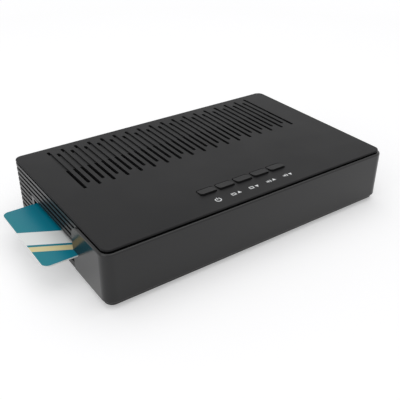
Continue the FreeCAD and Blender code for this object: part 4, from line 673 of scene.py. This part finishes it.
class RECEIVER_OT_rear_marks(bpy.types.Operator):
    """Prints plain signs above the rear sockets"""
    bl_idname = "receiver.rear_marks"
    bl_label = "Rear marks"

    def execute(self, context):
        settings = context.scene.receiver_marks
        ink = Ink(settings.stroke)
        upright = Matrix.Rotation(math.pi, 4, "Z") @ Matrix.Rotation(math.pi / 2, 4, "X")

        def lay_above(node):
            """Lays the sign on the panel, above the middle of one socket."""
            low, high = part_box(node)
            ink.lay(Matrix.Translation(((low.x + high.x) / 2, PANEL_FACE, REAR_MARK_LEVEL)) @ upright)

        # Polarity of the power plug: minus ring, centre point, plus ring.
        thin = ink.stroke * POLARITY_STROKE
        for side in (-1, 1):
            ink.arc(side * POLARITY_PITCH, 0.0, POLARITY_RADIUS, 0.0, 2 * math.pi)
            ink.bar(side * POLARITY_PITCH, 0.0, POLARITY_RADIUS, thin)
        ink.bar(-POLARITY_PITCH, 0.0, thin, POLARITY_RADIUS)
        ink.polygon(0.0, 0.0, POLARITY_RADIUS * POLARITY_DOT, RING_STEPS)
        ink.arc(0.0, 0.0, POLARITY_RADIUS * POLARITY_CUP, CUP_START, CUP_SWEEP)
        lay_above("power_socket")
        # Network: one station over two.
        line = ink.stroke * STATION_STROKE
        for across, up in ((0.0, 1.0), (-1.0, -1.0), (1.0, -1.0)):
            ink.bar(across * STATION_PITCH, up * STATION_RISE, STATION_SIZE, STATION_SIZE)
        ink.bar(0.0, 0.0, 2 * STATION_PITCH + ink.stroke, line)
        ink.bar(0.0, STATION_RISE / 2, line, STATION_RISE)
        for side in (-1, 1):
            ink.bar(side * STATION_PITCH, -STATION_RISE / 2, line, STATION_RISE)
        lay_above("lan_socket")
        # Screens over the two picture sockets.
        for node, width in SCREEN_WIDTHS:
            ink.screen(0.0, 0.0, width, width * SCREEN_SHAPE)
            ink.bar(0.0, -width * SCREEN_FOOT, width * SCREEN_SHAPE, ink.stroke)
            lay_above(node)
        ink.speaker(0.0, 0.0, SOUND_SIZE)
        lay_above("audio_barrel")
        # Aerial: a mast under two waves.
        for radius in DISH_RADII:
            ink.arc(0.0, 0.0, radius, DISH_START, DISH_SWEEP)
        ink.polygon(0.0, 0.0, line, RING_STEPS)
        ink.bar(0.0, -MAST_LENGTH / 2, ink.stroke, MAST_LENGTH)
        lay_above("aerial_socket")
        make_piece("rear_marks", ink.mesh, print_ink(settings.ink), "housing")
        return {"FINISHED"}


class RECEIVER_OT_aerial_thread(bpy.types.Operator):
    """Makes the threaded aerial socket, which takes the plain one's place"""
    bl_idname = "receiver.aerial_thread"
    bl_label = "Aerial thread"

    def execute(self, context):
        low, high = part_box("aerial_socket")
        middle = Vector(((low.x + high.x) / 2, 0.0, (low.z + high.z) / 2))
        root = PANEL_FACE + THREAD_START
        neck_end = low.y + FLANGE_THICKNESS
        mesh = bmesh.new()
        turns = math.ceil((high.y - root) / THREAD_PITCH) + 2
        points = [
            mesh.verts.new(middle + Vector((radius, root + (share - 1.0) * THREAD_PITCH, 0.0)))
            for radius, share in THREAD_PROFILE
        ]
        edges = [mesh.edges.new(pair) for pair in zip(points, points[1:])]
        bmesh.ops.spin(
            mesh, geom=points + edges, cent=middle, axis=(0, 1, 0), angle=2 * math.pi * turns,
            steps=THREAD_STEPS * turns, dvec=(0, THREAD_PITCH / THREAD_STEPS, 0),
        )
        bmesh.ops.remove_doubles(mesh, verts=mesh.verts, dist=THREAD_WELD)
        for level, outward in ((root, -1), (high.y, 1)):
            bmesh.ops.bisect_plane(
                mesh, geom=mesh.verts[:] + mesh.edges[:] + mesh.faces[:], plane_co=(0, level, 0),
                plane_no=(0, outward, 0), clear_outer=True,
            )

        def rim(level):
            """The open edges of the shell at one level."""
            return [
                edge for edge in mesh.edges
                if edge.is_boundary and all(abs(vert.co.y - level) < RIM_REACH for vert in edge.verts)
            ]

        def grow(edges_in, radius, along):
            """Extrudes an open rim to a radius and along the barrel, and gives the new rim."""
            made = bmesh.ops.extrude_edge_only(mesh, edges=edges_in)["geom"]
            for vert in (part for part in made if isinstance(part, bmesh.types.BMVert)):
                arm = vert.co - middle
                arm.y = 0.0
                place = middle + arm.normalized() * radius
                vert.co = Vector((place.x, vert.co.y + along, place.z))
            return [part for part in made if isinstance(part, bmesh.types.BMEdge)]

        mouth = grow(rim(high.y), THREAD_BORE, 0.0)
        floor = grow(mouth, THREAD_BORE, neck_end - high.y)
        shoulder = grow(rim(root), NECK_RADIUS, 0.0)
        neck = grow(shoulder, NECK_RADIUS, neck_end - root)
        flange = grow(neck, FLANGE_RADIUS, 0.0)
        back = grow(flange, FLANGE_RADIUS, -FLANGE_THICKNESS)
        for ends in (floor, back):
            bmesh.ops.contextual_create(mesh, geom=ends)
        finish = bpy.data.materials["bright_nickel"]
        piece = make_piece("aerial_threaded_socket", mesh, finish, "housing")
        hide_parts("aerial_socket")
        return {"FINISHED"}


class RECEIVER_OT_studio(bpy.types.Operator):
    """Makes the floor, the lights, the background and the camera"""
    bl_idname = "receiver.studio"
    bl_label = "Studio"

    def execute(self, context):
        settings = context.scene.receiver_studio
        scene = context.scene
        scene.view_settings.view_transform = "Standard"
        make_floor(settings)
        make_lights(settings)
        make_world(settings)
        make_camera()
        return {"FINISHED"}


def seen_directly(tree):
    """One for a look from the camera, in a reflection or through glass."""
    rays = add(tree, "ShaderNodeLightPath").outputs
    both = add(
        tree, "ShaderNodeMath", {"operation": "MAXIMUM"},
        {0: rays["Is Camera Ray"], 1: rays["Is Glossy Ray"]},
    )
    every = add(
        tree, "ShaderNodeMath", {"operation": "MAXIMUM"},
        {0: both.outputs[0], 1: rays["Is Transmission Ray"]},
    )
    return every.outputs[0]


def make_floor(settings):
    """A wide pale floor that keeps a soft shadow and looks white where light falls."""
    mesh = bmesh.new()
    bmesh.ops.create_grid(mesh, x_segments=2, y_segments=2, size=FLOOR_SIZE / 2)
    data = bpy.data.meshes.new("studio_floor")
    mesh.to_mesh(data)
    mesh.free()
    floor = bpy.data.objects.new("studio_floor", data)
    bpy.context.scene.collection.objects.link(floor)
    material, tree, place = new_finish("paper_floor")
    paper = add(tree, "ShaderNodeBsdfDiffuse", {"Color": tuple(settings.floor)})
    distance = add(tree, "ShaderNodeVectorMath", {"operation": "LENGTH"}, {0: place})
    glowing = add(
        tree, "ShaderNodeMapRange",
        {"From Min": FLOOR_NEAR, "From Max": FLOOR_FAR, "To Min": FLOOR_LIFT, "To Max": FLOOR_FAR_LIFT},
        {"Value": distance.outputs["Value"]},
    )
    lift = add(
        tree, "ShaderNodeMath", {"operation": "MULTIPLY"},
        {0: seen_directly(tree), 1: glowing.outputs["Result"]},
    )
    glow = add(
        tree, "ShaderNodeEmission", {"Color": (1, 1, 1, 1)}, {"Strength": lift.outputs[0]},
    )
    both = add(tree, "ShaderNodeAddShader", links={0: paper.outputs[0], 1: glow.outputs[0]})
    data.materials.append(finished(material, tree, both))


def make_lights(settings):
    """A large softbox overhead and a weaker one at the left."""
    for name, power, size, place, target in LAMPS:
        lamp = bpy.data.lights.new(name, "AREA")
        lamp.shape = "SQUARE"
        lamp.size = size
        lamp.energy = getattr(settings, power)
        holder = bpy.data.objects.new(name, lamp)
        bpy.context.scene.collection.objects.link(holder)
        holder.location = place
        holder.rotation_euler = (Vector(place) - Vector(target)).to_track_quat("Z", "Y").to_euler()


def make_world(settings):
    """White to the eye and in reflections, an even grey light for everything else."""
    world = bpy.data.worlds.new("studio_world")
    bpy.context.scene.world = world
    world.use_nodes = True
    tree = world.node_tree
    tree.nodes.clear()
    even = add(tree, "ShaderNodeBackground", {"Color": (1, 1, 1, 1), "Strength": settings.ambient})
    white = add(tree, "ShaderNodeBackground", {"Color": (1, 1, 1, 1), "Strength": 1.0})
    mixed = add(
        tree, "ShaderNodeMixShader", links={0: seen_directly(tree), 1: even.outputs[0], 2: white.outputs[0]},
    )
    add(tree, "ShaderNodeOutputWorld", links={"Surface": mixed.outputs[0]})


def make_camera():
    """The camera at the photograph's place, angle and slight roll."""
    data = bpy.data.cameras.new("camera")
    data.sensor_width = SENSOR_WIDTH
    data.lens = FOCAL_PIXELS / PHOTO_PIXELS * SENSOR_WIDTH
    data.clip_start = CLIP_START
    camera = bpy.data.objects.new("camera", data)
    bpy.context.scene.collection.objects.link(camera)
    look = (CAMERA_PLACE - CAMERA_TARGET).to_track_quat("Z", "Y").to_matrix().to_4x4()
    camera.matrix_world = Matrix.Translation(CAMERA_PLACE) @ look @ Matrix.Rotation(CAMERA_ROLL, 4, "Z")
    bpy.context.scene.camera = camera


STEPS = (
    RECEIVER_OT_housing, RECEIVER_OT_card, RECEIVER_OT_sockets, RECEIVER_OT_electronics,
    RECEIVER_OT_key_marks, RECEIVER_OT_rear_marks, RECEIVER_OT_aerial_thread, RECEIVER_OT_studio,
)
GROUPS = (
    ("receiver_housing", RECEIVER_PG_housing), ("receiver_card", RECEIVER_PG_card),
    ("receiver_marks", RECEIVER_PG_marks), ("receiver_studio", RECEIVER_PG_studio),
)


class RECEIVER_PT_panel(bpy.types.Panel):
    """Lists the steps and their settings"""
    bl_idname = "RECEIVER_PT_panel"
    bl_label = "Receiver"
    bl_space_type = "VIEW_3D"
    bl_region_type = "UI"
    bl_category = "Receiver"

    def draw(self, context):
        for name, group in GROUPS:
            box = self.layout.box()
            for setting in group.__annotations__:
                box.prop(getattr(context.scene, name), setting)
        for step in STEPS:
            self.layout.operator(step.bl_idname)


def register():
    """Registers the settings, the steps and the panel."""
    for name, group in GROUPS:
        bpy.utils.register_class(group)
        setattr(bpy.types.Scene, name, PointerProperty(type=group))
    for kind in (*STEPS, RECEIVER_PT_panel):
        bpy.utils.register_class(kind)


def unregister():
    """Takes everything back in the other order."""
    for kind in reversed((*STEPS, RECEIVER_PT_panel)):
        bpy.utils.unregister_class(kind)
    for name, group in reversed(GROUPS):
        delattr(bpy.types.Scene, name)
        bpy.utils.unregister_class(group)


def main():
    """Runs every step in order."""
    register()
    for step in STEPS:
        family, call = step.bl_idname.split(".")
        getattr(getattr(bpy.ops, family), call)()


if __name__ == "__main__":
    main()
